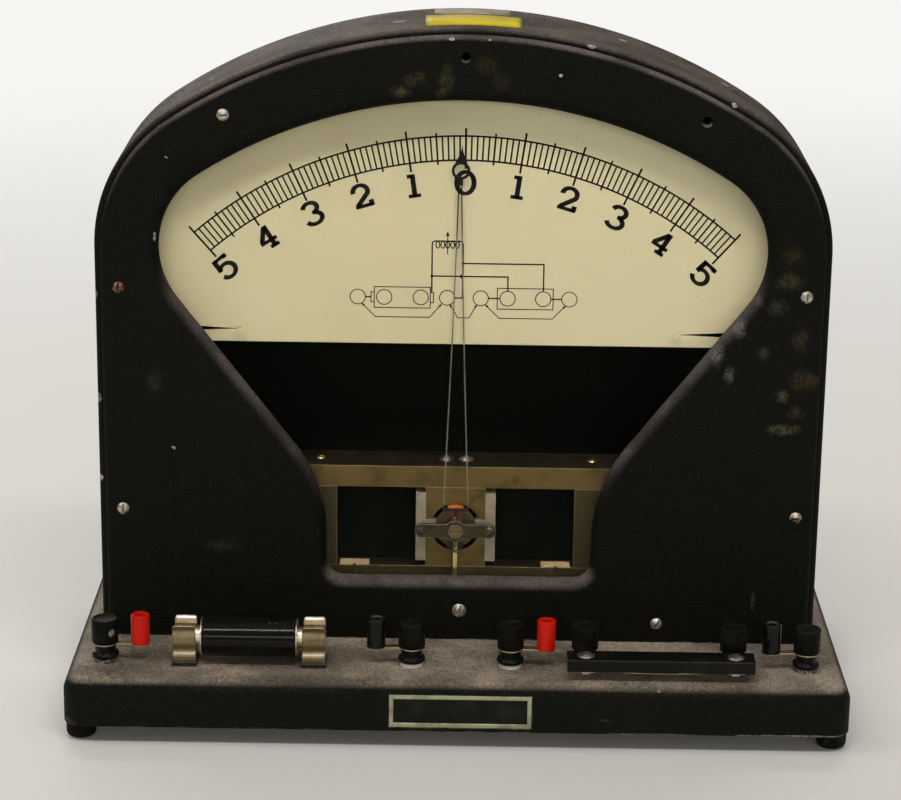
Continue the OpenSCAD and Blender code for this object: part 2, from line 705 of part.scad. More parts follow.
module pole_screws() color("#cfccc2") at_movement() both_sides()
    translate([pole_screw_x, bar_mid_y, opening_high + bar_h]) {
        difference() {
            cylinder(d = pole_washer_d, h = pole_washer_t);
            translate([0, 0, -cut]) cylinder(d = pole_screw_d, h = pole_washer_t + 2 * cut);
        }
        translate([0, 0, pole_washer_t]) screw(pole_head_d, pole_screw_d, pole_screw_l);
    }
frame_head_d = 4.6;
module frame_screws() color("#c8a45c") at_movement() both_sides()
    translate([frame_screw_x, bar_mid_y, opening_high + bar_h])
        screw(frame_head_d, frame_screw_d, frame_screw_l);
module pole_pieces() color("#6b5a3c") at_movement() difference() {
    block(-pole_half, pole_half, yoke_y, yoke_back, opening_low, opening_high);
    block(-pole_half - cut, pole_half + cut, yoke_y - cut, yoke_back + cut,
        pivot_z - pole_gap_half, pivot_z + pole_gap_half);
    translate([0, 0, pivot_z]) rod_y(bore_r, yoke_y - cut, yoke_back + cut);
    both_sides() translate([pole_screw_x, bar_mid_y, opening_high + bar_h + pole_washer_t - pole_screw_l])
        cylinder(d = pole_screw_d, h = pole_screw_l);
}
module bridge_screw_places() both_sides() translate([bridge_screw_x, 0, pivot_z]) children();
module side_strips() color("#8f8d85") at_movement() difference() {
    both_sides() block(pole_half, pole_half + strip_w, yoke_y, yoke_back, strip_low, strip_low + strip_h);
    both_sides() core_arm();
    bridge_screw_places() rod_y(bridge_screw_d / 2, yoke_y - cut, yoke_back + cut);
}
module magnets() color("#1b1a1a") at_movement() both_sides()
    block(pole_half + strip_w, opening_half, yoke_y + magnet_set, yoke_back, opening_low, opening_high);

// Core and the arms that hold it between the side strips
module core() color("#6f6c66") at_movement() translate([0, 0, pivot_z]) rod_y(core_r, core_front, yoke_back);
module core_arm() block(core_r - cut, pole_half + strip_w / 2, yoke_y, yoke_y + arm_d,
    pivot_z + pole_gap_half - arm_h, pivot_z + pole_gap_half);
module core_arms() color("#a3a097") at_movement() difference() {
    both_sides() core_arm();
    translate([0, 0, pivot_z]) rod_y(core_r, yoke_y - cut, yoke_back);
    bridge_screw_places() rod_y(bridge_screw_d / 2, yoke_y - cut, yoke_back + cut);
}

// Bridges with their screws and jewel screws
bridge_back = yoke_y - bridge_gap;
bridge_front = bridge_back - bridge_t;
rear_gap = 4;
rear_bridge_front = yoke_back + rear_gap;
module bridge_plate() difference() {
    union() {
        translate([-bridge_half + bridge_h / 2, -bridge_h / 2])
            square([2 * bridge_half - bridge_h, bridge_h]);
        for (i = [-1, 1]) translate([i * (bridge_half - bridge_h / 2), 0]) circle(d = bridge_h);
        circle(bridge_eye_r);
    }
    circle(jewel_r);
    for (i = [-1, 1]) translate([i * bridge_screw_x, 0]) circle(d = bridge_screw_d);
}
module front_bridge() color("#8a8468") at_movement() translate([0, 0, pivot_z])
    along_y(bridge_front, bridge_back) bridge_plate();
module rear_bridge() color("#8a8468") at_movement() translate([0, 0, pivot_z])
    along_y(rear_bridge_front, rear_bridge_front + bridge_t) bridge_plate();
bridge_head_d = 4.4;
pillar_d = 4;
bridge_screw_l = 14;
module pillar(from, to) difference() {
    rod_y(pillar_d / 2, from, to);
    rod_y(bridge_screw_d / 2, from - cut, to + cut);
}
module bridge_screws() color("#c9c2a8") at_movement() bridge_screw_places() {
    translate([0, bridge_front, 0]) rotate([90, 0, 0])
        screw(bridge_head_d, bridge_screw_d, bridge_screw_l, slot_turn);
    translate([0, rear_bridge_front + bridge_t, 0]) rotate([-90, 0, 0])
        screw(bridge_head_d, bridge_screw_d, bridge_t + rear_gap + bridge_screw_l / 2 - cut, slot_turn);
    pillar(bridge_back, yoke_y);
    pillar(yoke_back, rear_bridge_front);
}
jewel_nut_t = 1.1;
jewel_tip = 1.2;
jewel_depth = 2.2;
jewel_slot = 0.7;
// A jewel screw points along +Y, with the back of its bridge at the origin
module jewel_screw() difference() {
    union() {
        rod_y(jewel_r, -bridge_t - jewel_nut_t, jewel_tip);
        along_y(-bridge_t - jewel_nut_t, -bridge_t) circle(jewel_nut_r, $fn = 6);
    }
    rod_y(pivot_r + run_gap, jewel_tip - jewel_depth, jewel_tip + cut);
    block(-jewel_nut_r, jewel_nut_r, -bridge_t - jewel_nut_t - cut, -bridge_t - jewel_nut_t / 2,
        -jewel_slot / 2, jewel_slot / 2);
}
module jewel_screws() color("#b49a58") at_movement() translate([0, 0, pivot_z]) {
    translate([0, bridge_back, 0]) jewel_screw();
    translate([0, rear_bridge_front, 0]) mirror([0, 1, 0]) jewel_screw();
}

// Moving coil round the core, its pivots and the pointer
coil_in = core_r + coil_gap;
coil_out = bore_r - coil_gap;
coil_front = core_front - coil_gap;
coil_back = yoke_back + coil_gap;
module moving_coil() color("#a04a24") at_movement() translate([0, 0, pivot_z]) intersection() {
    difference() {
        rod_y(coil_out, coil_front - coil_t, coil_back + coil_t);
        rod_y(coil_in, coil_front, coil_back);
    }
    block(-coil_w / 2, coil_w / 2, coil_front - coil_t - cut, coil_back + coil_t + cut, -coil_out, coil_out);
}
foot_t = 0.6;
foot_y0 = coil_front - coil_t - foot_t;
pivot_play = 0.3;
pivot_boss_r = 1.5;
module pivots() color("#d0cdc6") at_movement() translate([0, 0, pivot_z]) {
    rod_y(pivot_r, bridge_back + jewel_tip - jewel_depth + pivot_play, foot_y0);
    rod_y(pivot_r, coil_back + coil_t, rear_bridge_front - jewel_tip + jewel_depth - pivot_play);
}
// Half spread of the wires, drawn in towards the tip
wire_top = pointer_l - spear_l - 2 * ring_r;
wire_low = coil_in - coil_t;
wire_bow = 1.25;
wire_steps = 10;
function wire_x(t) = ring_w / 2 + (wire_spread - ring_w / 2) * pow(1 - t, wire_bow);
function wire_z(t) = wire_low + (wire_top - wire_low) * t;
module wire() polygon(concat(
    [for (i = [0:wire_steps]) [wire_x(i / wire_steps) - wire_r, wire_z(i / wire_steps)]],
    [for (i = [wire_steps:-1:0]) [wire_x(i / wire_steps) + wire_r, wire_z(i / wire_steps)]]));
foot_arm_w = 1.6;
spear_steps = 8;
spear_bow = 1.7;
tip_half = 0.15;
tail_l = 8;
weight_r = 1.8;
weight_t = 1;
module pointer() color("#1a1a1a") at_movement() translate([0, 0, pivot_z]) {
    along_y(foot_y0, foot_y0 + foot_t) {
        for (i = [0, 1]) mirror([i, 0]) wire();
        translate([0, wire_top]) rotate(-head_lean) {
            difference() {
                translate([0, ring_r]) circle(ring_r);
                translate([0, ring_r]) circle(ring_r - ring_w);
            }
            polygon(mirrored([for (i = [0:spear_steps]) let (t = 1 - i / spear_steps)
                [tip_half + (spear_half - tip_half) * pow(1 - t, spear_bow),
                    2 * ring_r - ring_w / 2 + (spear_l + ring_w / 2) * t]]));
        }
        translate([-ring_w, wire_top - 2 * ring_w]) square([2 * ring_w, 2 * ring_w + ring_w / 2]);
        translate([-wire_spread - wire_r, wire_low - foot_arm_w / 2])
            square([2 * (wire_spread + wire_r), foot_arm_w]);
        difference() {
            union() {
                translate([-foot_arm_w / 2, -tail_l]) square([foot_arm_w, tail_l + wire_low]);
                circle(pivot_boss_r);
            }
            circle(pivot_r);
        }
    }
    translate([0, 0, -tail_l]) rod_y(weight_r, foot_y0 + foot_t - weight_t, foot_y0 + foot_t);
}

// Hairsprings: flat spirals between an arbor and a stud
hair_in = 2.2;
hair_t = 0.25;
hair_b = 0.7;
hair_stud_r = 0.4;
hair_steps = 72;
module hair_spiral() {
    function spiral(grow) = [for (i = [0:hair_steps]) let (a = 90 + 360 * hair_turns * i / hair_steps,
        r = hair_in + (hair_r - hair_in) * i / hair_steps + grow) r * [cos(a), sin(a)]];
    inner = spiral(-hair_t / 2);
    outer = spiral(hair_t / 2);
    polygon(concat(inner, [for (i = [hair_steps:-1:0]) outer[i]]));
}
echo(hairspring_gap = (hair_r - hair_in) / hair_turns - hair_t);
jewel_gap = 0.2;
lever_y = bridge_back + jewel_gap;
hair_y = lever_y + lever_t;
module front_hairspring() color("#b9a778") at_movement() translate([0, 0, pivot_z])
    along_y(hair_y, hair_y + hair_b) hair_spiral();
rear_hair_y = rear_bridge_front - jewel_tip - hair_b;
module rear_hairspring() color("#b9a778") at_movement() translate([0, 0, pivot_z]) {
    along_y(rear_hair_y, rear_hair_y + hair_b) hair_spiral();
    translate([0, 0, hair_r]) rod_y(hair_stud_r, rear_hair_y + hair_b, rear_bridge_front);
}

// Zero lever on the front jewel screw, and the screw whose pin moves its fork
zero_z = base_top + zero_h;
lever_eye_r = 3.4;
tail_h = 6.6;
fork_half = zero_pin_r + fork_gap;
fork_l = 4;
fork_top = zero_z + zero_throw + fork_l - pivot_z;
fork_low = zero_z + zero_throw - fork_l - pivot_z;
fork_x = zero_x - movement_x;
module zero_lever() color("#b08d4a") at_movement() translate([0, 0, pivot_z]) {
    along_y(lever_y, lever_y + lever_t) difference() {
        union() {
            circle(lever_eye_r);
            translate([-lever_w / 2, fork_top]) square([lever_w, tail_h - fork_top]);
            translate([-lever_w / 2, fork_top - lever_w])
                square([fork_x + fork_half + 1.5 * lever_w, lever_w * 2]);
            for (i = [-1, 1]) translate([fork_x + i * (fork_half + lever_w / 2) - lever_w / 2, fork_low])
                square([lever_w, fork_top - fork_low]);
        }
        circle(jewel_r + run_gap);
        translate([fork_x - fork_half, fork_low - cut])
            square([2 * fork_half, fork_top - lever_w - fork_low + cut]);
    }
    translate([0, 0, hair_r + hair_t / 2 + hair_stud_r])
        rod_y(hair_stud_r, lever_y + lever_t, hair_y + hair_b);
}
zero_flange_r = 5.4;
zero_flange_t = 1.4;
module zero_screw() color("#a9a497") translate([zero_x, 0, zero_z]) {
    translate([0, bezel_y - hole_gap, 0]) rotate([90, 0, 0])
        screw(zero_head_d, zero_d, bezel_t + 2 * hole_gap, zero_slot_turn, flat_rise);
    rod_y(zero_flange_r, shell_y + hole_gap, shell_y + hole_gap + zero_flange_t);
    translate([0, 0, zero_throw]) rod_y(zero_pin_r, shell_y + hole_gap, lever_y + lever_t + cut / 2);
}

// Terminal tags on the bottom bar, legs under it and the leads down into the base
tag_l = 15;
tag_d = 7;
tag_t = 0.9;
module terminal_tags() color("#b79a6a") at_movement() both_sides()
    block(lead_x - tag_l / 2, lead_x + tag_l / 2, yoke_y, yoke_y + tag_d, opening_low, opening_low + tag_t);
module movement_legs() color("#77756f") at_movement() both_sides()
    translate([leg_x, bar_mid_y, case_floor]) cylinder(d = leg_d, h = opening_low - bar_h - case_floor);
lead_z = cavity_top - 5;
module rod(from, to, r) {
    run = to - from;
    translate(from) rotate([0, acos(run.z / norm(run)), atan2(run.y, run.x)]) cylinder(r = r, h = norm(run));
}
module lead(points) {
    for (i = [0:len(points) - 2]) rod(points[i], points[i + 1], lead_r);
    for (i = [1:len(points) - 2]) translate(points[i]) sphere(r = lead_r);
}
stud_touch = stud_d / 2 + run_gap;
clip_touch = clip_screw_d / 2 + run_gap;
module lead_wires() color("#8d2f22") {
    for (end = [[-1, post_x[1]], [1, post_x[2]]]) let (i = end[0]) lead([
        [movement_x + i * lead_x, yoke_y - hole_gap / 2, opening_low + tag_t / 2],
        [movement_x + i * lead_x, lead_y, opening_low + tag_t / 2],
        [movement_x + i * lead_x, lead_y, lead_z],
        [movement_x + i * lead_x, row_y, lead_z],
        [end[1] + i * stud_touch, row_y, lead_z]]);
    lead([[post_x[0] + stud_touch, row_y, lead_z], [resistor_x - clip_x - clip_touch, row_y, lead_z]]);
    lead([[resistor_x + clip_x + clip_touch, row_y, lead_z],
        [movement_x - lead_x - 2 * lead_r, row_y, lead_z]]);
    lead([[movement_x + lead_x + 2 * lead_r, row_y, lead_z], [shunt_post_x - stud_touch, row_y, lead_z]]);
    lead([[shunt_post_x + shunt_pitch + stud_touch, row_y, lead_z],
        [post_x[3] - stud_touch, row_y, lead_z]]);
}

// Binding posts: washer, collar, stud, nuts and knob
collar_low = base_top + washer_t;
grip_z = collar_low + flange_h + neck_h;
knob_z = grip_z + strip_t + 2 * clamp_gap;
flange_edge = 1.4;
knob_edge = 0.8;
stud_in_knob = 9;
nut_r = 3.8;
nut_t = 2.6;
module at_posts() for (x = post_x) translate([x, row_y, 0]) children();
module post_washers() color("#c4c0b4") at_posts() translate([0, 0, base_top]) difference() {
    cylinder(d = washer_d, h = washer_t);
    translate([0, 0, -cut]) cylinder(d = stud_d + 2 * hole_gap, h = washer_t + 2 * cut);
}
module post_collars() color("#151515") at_posts() translate([0, 0, collar_low]) difference() {
    rotate_extrude() {
        square([neck_d / 2, flange_h + neck_h]);
        square([flange_d / 2 - flange_edge, flange_h]);
        translate([0, flange_edge]) square([flange_d / 2, flange_h - 2 * flange_edge]);
        for (z = [flange_edge, flange_h - flange_edge])
            translate([flange_d / 2 - flange_edge, z]) circle(flange_edge);
    }
    translate([0, 0, -cut]) cylinder(d = stud_d + 2 * run_gap, h = flange_h + neck_h + 2 * cut);
}
module post_studs() color("#b5a06a") at_posts() translate([0, 0, stud_bottom])
    cylinder(d = stud_d, h = knob_z + stud_in_knob - stud_bottom);
module stud_nuts() color("#b9b4a6") at_posts() translate([0, 0, cavity_top - nut_t])
    hex_nut(nut_r, nut_t, stud_d / 2);
module knob(i) color("#141414") translate([post_x[i], row_y, knob_z]) difference() {
    rotate_extrude() {
        square([knob_d / 2 - knob_edge, knob_h]);
        translate([0, knob_edge]) square([knob_d / 2, knob_h - 2 * knob_edge]);
        for (z = [knob_edge, knob_h - knob_edge]) translate([knob_d / 2 - knob_edge, z]) circle(knob_edge);
    }
    translate([0, 0, -cut]) cylinder(d = stud_d + 2 * run_gap, h = stud_in_knob + 2 * cut);
}
module knob_1() knob(0);
module knob_2() knob(1);
module knob_3() knob(2);
module knob_4() knob(3);
module knob_5() knob(4);
module knob_6() knob(5);

// Jack strips clamped under the front knobs, with a sleeve on the free end of each
jack_side = [1, -1, 1, -1];
sleeve_edge = 0.7;
sleeve_floor = 3;
strip_z = grip_z + clamp_gap;
wave_steps = 12;
wave_from = knob_d / 2;
wave_to = jack_x - sleeve_d / 2 + 1;
function wave_z(x) = x < wave_from ? 0 : x > wave_to ? -jack_drop
    : -jack_drop * (1 - cos(180 * (x - wave_from) / (wave_to - wave_from))) / 2;
jack_end_x = jack_x + sleeve_d / 2;
module at_jacks(which) for (i = which) translate([post_x[i], row_y, 0])
    mirror([jack_side[i] < 0 ? 1 : 0, 0, 0]) children();
module jack_strip() {
    line = [for (i = [0:wave_steps])
        let (x = wave_from + (wave_to - wave_from) * i / wave_steps) [x, wave_z(x)]];
    profile = concat([[-knob_d / 2, 0]], line, [[jack_end_x, -jack_drop]]);
    difference() {
        intersection() {
            translate([0, 0, strip_z]) along_y(-knob_d, knob_d) polygon(concat(profile,
                [for (i = [len(profile) - 1:-1:0]) profile[i] + [0, strip_t]]));
            translate([0, 0, strip_z - knob_d]) linear_extrude(2 * knob_d) {
                circle(d = knob_d - 2 * hole_gap);
                translate([jack_x, 0]) circle(d = sleeve_d - 2 * hole_gap);
                translate([0, -sleeve_d / 4]) square([jack_x, sleeve_d / 2]);
            }
        }
        translate([0, 0, strip_z - cut]) cylinder(d = stud_d + 2 * hole_gap, h = strip_t + 2 * cut);
    }
}
module jack_strips() color("#b79b6b") at_jacks([0:3]) jack_strip();
module sleeve() translate([jack_x, 0, strip_z - jack_drop + strip_t]) difference() {
    rotate_extrude() {
        square([sleeve_d / 2, sleeve_h - sleeve_edge]);
        square([sleeve_d / 2 - sleeve_edge, sleeve_h]);
        translate([sleeve_d / 2 - sleeve_edge, sleeve_h - sleeve_edge]) circle(sleeve_edge);
    }
    translate([0, 0, sleeve_floor]) cylinder(d = sleeve_bore_d, h = sleeve_h);
}
module red_sleeves() color("#c81f1a") at_jacks([0, 2]) sleeve();
module black_sleeves() color("#141414") at_jacks([1, 3]) sleeve();

// Fuse clips on insulators, and the resistor that lifts out of them
axis_z = base_top + resistor_h;
clip_z = base_top + insulator_t;
jaw_in = ferrule_d / 2 + jaw_gap;
lip_out = 1.9;
waist_in = 1.1;
bulge_out = 0.6;
axis_up = resistor_h - insulator_t;
jaw_line = [[0, fuse_clip_t], [0, axis_up - 8.2], [-waist_in, axis_up - 6], [0, axis_up - 2.2],
    [0, axis_up + 0.6], [bulge_out, axis_up + 2.2], [0, axis_up + 4.4], [lip_out, jaw_h]];
insulator_over = 1.2;
clip_head_d = 5.4;
module at_clips() for (i = [-1, 1]) translate([resistor_x + i * clip_x, row_y, 0]) children();
module clip_insulators() color("#1d1a18") at_clips() difference() {
    block(-fuse_clip_w / 2 - insulator_over / 2, fuse_clip_w / 2 + insulator_over / 2,
        -jaw_in - fuse_clip_t - insulator_over, jaw_in + fuse_clip_t + insulator_over, base_top, clip_z);
    translate([0, 0, base_top - cut]) cylinder(d = clip_screw_d + 2 * hole_gap, h = insulator_t + 2 * cut);
}
module fuse_clips() color("#bdb6a2") at_clips() difference() {
    translate([0, 0, clip_z]) along_x(-fuse_clip_w / 2, fuse_clip_w / 2)
        for (i = [0, 1]) mirror([i, 0]) polygon(concat([[0, fuse_clip_t], [0, 0], [jaw_in + fuse_clip_t, 0]],
            [for (p = jaw_line) p + [jaw_in + fuse_clip_t, 0]],
            [for (i = [len(jaw_line) - 1:-1:0]) jaw_line[i] + [jaw_in, 0]]));
    translate([0, 0, clip_z - cut]) cylinder(d = clip_screw_d + 2 * hole_gap, h = fuse_clip_t + 2 * cut);
}
clip_screw_l = base_wall + insulator_t + fuse_clip_t + nut_t + 4;
module clip_screws() color("#b9b4a6") at_clips() {
    translate([0, 0, clip_z + fuse_clip_t]) screw(clip_head_d, clip_screw_d, clip_screw_l);
    translate([0, 0, cavity_top - nut_t]) hex_nut(nut_r, nut_t, clip_screw_d / 2);
}
module on_axis() translate([resistor_x, row_y, axis_z]) rotate([0, 90, 0]) children();
cap_edge = 0.8;
cap_t = 0.7;
cap_d = resistor_d - cap_edge;
module resistor_body() color("#121212") on_axis() translate([0, 0, -resistor_l / 2]) rotate_extrude() {
    square([resistor_d / 2 - cap_edge, resistor_l]);
    translate([0, cap_edge]) square([resistor_d / 2, resistor_l - 2 * cap_edge]);
    for (z = [cap_edge, resistor_l - cap_edge]) translate([resistor_d / 2 - cap_edge, z]) circle(cap_edge);
}
module ferrules() color("#c3c0b6") on_axis() for (i = [0, 1]) mirror([0, 0, i])
    translate([0, 0, resistor_l / 2]) rotate_extrude() {
        square([cap_d / 2, cap_t]);
        square([ferrule_d / 2, ferrule_l - cap_edge]);
        square([ferrule_d / 2 - cap_edge, ferrule_l]);
        translate([ferrule_d / 2 - cap_edge, ferrule_l - cap_edge]) circle(cap_edge);
    }

// Shunt: a bar with two forked tongues, its screws and a bowed resistance strip
shunt_mid = shunt_post_x + shunt_pitch / 2;
shunt_back = row_y - max(knob_d, flange_d) / 2 - shunt_clear - strip_t;
shunt_front = shunt_back - shunt_d;
shunt_high = base_top + shunt_top;
shunt_low = shunt_high - shunt_h;
shunt_y = shunt_front + shunt_d / 2;
shunt_edge = 0.6;
shunt_screw_d = 3.5;
band_t = 0.4;
module at_tongues() for (x = [shunt_post_x, shunt_post_x + shunt_pitch]) translate([x, 0, 0]) children();
module shunt_holes(z, h) at_tongues() translate([0, shunt_y, z]) cylinder(d = shunt_screw_d, h = h);
module shunt_bar() color("#101010") difference() {
    along_x(shunt_mid - shunt_l / 2, shunt_mid + shunt_l / 2) polygon([
        [shunt_front, shunt_low], [shunt_back, shunt_low], [shunt_back, shunt_high - shunt_edge],
        [shunt_back - shunt_edge, shunt_high], [shunt_front + shunt_edge, shunt_high],
        [shunt_front, shunt_high - shunt_edge]]);
    shunt_holes(shunt_low - cut, shunt_h + 2 * cut);
}
tongue_z = strip_z;
tongue_low = shunt_low - strip_t;
tongue_back = row_y + knob_d / 2 - hole_gap;
module shunt_tongues() color("#a98f5c") at_tongues() difference() {
    along_x(-tongue_w / 2, tongue_w / 2) {
        translate([shunt_front + shunt_edge, tongue_low])
            square([shunt_d - shunt_edge + hole_gap + strip_t / 2, strip_t]);
        translate([shunt_back, tongue_low]) square([strip_t, tongue_z + strip_t - tongue_low]);
        translate([shunt_back, tongue_z]) square([tongue_back - shunt_back, strip_t]);
    }
    translate([0, shunt_y, tongue_low - cut]) cylinder(d = shunt_screw_d, h = strip_t + 2 * cut);
    translate([0, row_y, tongue_z - cut]) cylinder(d = stud_d + 4 * hole_gap, h = strip_t + 2 * cut);
    block(-stud_d / 2 - 2 * hole_gap, stud_d / 2 + 2 * hole_gap, row_y, tongue_back + cut,
        tongue_z - cut, tongue_z + strip_t + cut);
}
shunt_nut_t = 1.6;
band_low = tongue_low - band_t;
module shunt_screws() color("#c6c2b6") at_tongues() translate([0, shunt_y, 0]) {
    translate([0, 0, shunt_high])
        screw(shunt_head_d, shunt_screw_d, shunt_high - band_low + shunt_nut_t, slot_turn, flat_rise);
    translate([0, 0, band_low - shunt_nut_t]) hex_nut(nut_r, shunt_nut_t, shunt_screw_d / 2);
}
band_w = 6;
band_end = 5;
band_steps = 16;
module shunt_strip() color("#b08c58") difference() {
    bow = [for (i = [0:band_steps]) let (t = i / band_steps)
        [shunt_post_x + nut_r + 1 + (shunt_pitch - 2 * nut_r - 2) * t, band_low - strip_sag * sin(180 * t)]];
    line = concat([[shunt_post_x - band_end, band_low]], bow,
        [[shunt_post_x + shunt_pitch + band_end, band_low]]);
    along_y(shunt_y - band_w / 2, shunt_y + band_w / 2) polygon(concat(line,
        [for (i = [len(line) - 1:-1:0]) line[i] + [0, band_t]]));
    shunt_holes(band_low - strip_sag - cut, band_t + strip_sag + 2 * cut);
}

// Bare name plate let into the front of the base
plate_field = 0.4;
module name_plate() color("#b8bfae") translate([plate_x, -base_d / 2, plate_z]) difference() {
    block(-plate_w / 2, plate_w / 2, 0, plate_t, -plate_h / 2, plate_h / 2);
    block(-plate_w / 2 + plate_border, plate_w / 2 - plate_border, -cut, plate_field,
        -plate_h / 2 + plate_border, plate_h / 2 - plate_border);
}

base();
base_cover();
rubber_feet();
foot_screws();
case_shell();
shell_screws();
front_bezel();
bezel_screws();
window_glass();
glass_clips();
dial_plate();
dial_posts();
dial_screws();
top_bar();
bottom_bar();
uprights();
pole_screws();
frame_screws();
pole_pieces();
side_strips();
magnets();
core();
core_arms();
front_bridge();
rear_bridge();
bridge_screws();
jewel_screws();
moving_coil();
pivots();
pointer();
front_hairspring();
rear_hairspring();
zero_lever();
zero_screw();
terminal_tags();
movement_legs();
lead_wires();
post_collars();
post_washers();
post_studs();
stud_nuts();
knob_1();
knob_2();
knob_3();
knob_4();
knob_5();
knob_6();
jack_strips();
red_sleeves();
black_sleeves();
fuse_clips();
clip_insulators();
clip_screws();
resistor_body();
ferrules();
shunt_bar();
shunt_tongues();
shunt_screws();
shunt_strip();
name_plate();
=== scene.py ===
# Demonstration galvanometer, dressed over its CAD frame
import math

import bmesh
import bpy
from mathutils import Matrix, Vector


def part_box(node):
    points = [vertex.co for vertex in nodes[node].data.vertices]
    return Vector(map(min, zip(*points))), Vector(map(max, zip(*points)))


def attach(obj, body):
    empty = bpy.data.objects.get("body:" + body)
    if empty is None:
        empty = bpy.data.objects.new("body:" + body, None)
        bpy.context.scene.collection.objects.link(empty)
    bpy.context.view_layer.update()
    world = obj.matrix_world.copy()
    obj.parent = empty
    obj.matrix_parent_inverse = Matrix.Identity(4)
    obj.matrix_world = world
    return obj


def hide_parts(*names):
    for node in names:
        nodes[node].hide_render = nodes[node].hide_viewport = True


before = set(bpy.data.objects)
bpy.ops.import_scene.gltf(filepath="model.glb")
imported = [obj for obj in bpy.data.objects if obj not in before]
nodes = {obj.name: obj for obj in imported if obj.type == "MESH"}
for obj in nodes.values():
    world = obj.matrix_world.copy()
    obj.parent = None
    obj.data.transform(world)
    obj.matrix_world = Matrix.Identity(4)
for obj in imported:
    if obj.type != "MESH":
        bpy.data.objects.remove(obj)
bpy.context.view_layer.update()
scene = bpy.context.scene
scene.view_settings.view_transform = "Standard"
mm = 0.001
print("frame loaded:", len(nodes), "nodes")

# Camera, fitted to the photograph
viewPoint = {
    "place": (-0.388, -1361.693, 567.518),  # mm
    "yaw": -0.21,  # degrees
    "pitch": 16.93,
    "roll": 0.78,
    "focal": 2767.196,  # pixels
    "frameWidth": 901,  # pixels
    "sensor": 36.0,
    "clipEnd": 20,  # m
}


def addCamera(view):
    angles = [math.radians(view[key]) for key in ("yaw", "pitch", "roll")]
    cy, cp, cr = (math.cos(a) for a in angles)
    sy, sp, sr = (math.sin(a) for a in angles)
    turn = Matrix(((cy, -sy, 0), (sy, cy, 0), (0, 0, 1)))
    level = Matrix(((1, 0, 0), (0, 0, -1), (0, 1, 0)))
    tip = Matrix(((1, 0, 0), (0, cp, -sp), (0, sp, cp)))
    lean = Matrix(((cr, -sr, 0), (sr, cr, 0), (0, 0, 1)))
    look = lean @ tip @ level @ turn
    axes = Matrix((look[0], -look[1], -look[2])).transposed().to_4x4()
    data = bpy.data.cameras.new("photoCamera")
    data.sensor_width = view["sensor"]
    data.lens = view["focal"] * view["sensor"] / view["frameWidth"]
    data.clip_end = view["clipEnd"]
    camera = bpy.data.objects.new("photoCamera", data)
    camera.matrix_world = Matrix.Translation(Vector(view["place"]) * mm) @ axes
    scene.collection.objects.link(camera)
    scene.camera = camera


addCamera(viewPoint)


# Sets an input from a number, a colour, a vector or another node's output
def feed(tree, socket, value):
    if isinstance(value, bpy.types.NodeSocket):
        tree.links.new(value, socket)
    elif socket.type == "RGBA":
        socket.default_value = (*value, 1.0)
    else:
        socket.default_value = value


def setInputs(tree, node, **inputs):
    for name, value in inputs.items():
        feed(tree, node.inputs[name.replace("_", " ")], value)
    return node


# Adds a shader node, with its inputs in order or by name
def addNode(tree, kind, *values, settings=None, **inputs):
    node = tree.nodes.new("ShaderNode" + kind)
    for name, value in (settings or {}).items():
        setattr(node, name, value)
    for socket, value in zip(node.inputs, values):
        feed(tree, socket, value)
    return setInputs(tree, node, **inputs)


def maths(tree, operation, *values, clamp=False):
    return addNode(tree, "Math", *values, settings={"operation": operation, "use_clamp": clamp}).outputs[0]


def times(tree, first, second):
    return maths(tree, "MULTIPLY", first, second)


def vectorMaths(tree, operation, *values):
    return addNode(tree, "VectorMath", *values, settings={"operation": operation}).outputs


def spread(tree, value, low, high, toLow=0.0, toHigh=1.0):
    node = addNode(tree, "MapRange", settings={"interpolation_type": "SMOOTHSTEP"}, Value=value,
                   From_Min=low, From_Max=high, To_Min=toLow, To_Max=toHigh)
    return node.outputs["Result"]


# From one value to another as a mask goes from none to full
def between(tree, mask, empty, full):
    return spread(tree, mask, 0.0, 1.0, empty, full)


def mixColour(tree, factor, first, second):
    node = addNode(tree, "Mix", factor, settings={"data_type": "RGBA"})
    feed(tree, node.inputs[6], first)
    feed(tree, node.inputs[7], second)
    return node.outputs[2]


def mixShaders(tree, factor, first, second, output):
    blend = addNode(tree, "MixShader", factor, first.outputs[0], second.outputs[0])
    tree.links.new(blend.outputs[0], tree.nodes[output].inputs["Surface"])


def makeGroup(name, inputs, outputs):
    tree = bpy.data.node_groups.new(name, "ShaderNodeTree")
    for title, value in inputs.items():
        socket = tree.interface.new_socket(title, in_out="INPUT", socket_type="NodeSocketFloat")
        socket.default_value = value
    for title in outputs:
        tree.interface.new_socket(title, in_out="OUTPUT", socket_type="NodeSocketFloat")
    return tree, tree.nodes.new("NodeGroupInput").outputs, tree.nodes.new("NodeGroupOutput").inputs


def objectPlace(tree):
    return addNode(tree, "TexCoord").outputs["Object"]


def placeParts(tree):
    return addNode(tree, "SeparateXYZ", objectPlace(tree)).outputs


def faceNormal(tree):
    return addNode(tree, "NewGeometry").outputs["Normal"]


def noiseAt(tree, place, **inputs):
    return addNode(tree, "TexNoise", Vector=place, **inputs).outputs


def objectNoise(tree, scale, detail=3.0, roughness=0.55, shift=0.0):
    place = objectPlace(tree)
    if shift:
        place = vectorMaths(tree, "ADD", place, (shift, shift * 0.7, -shift))[0]
    return noiseAt(tree, place, Scale=scale, Detail=detail, Roughness=roughness)["Fac"]


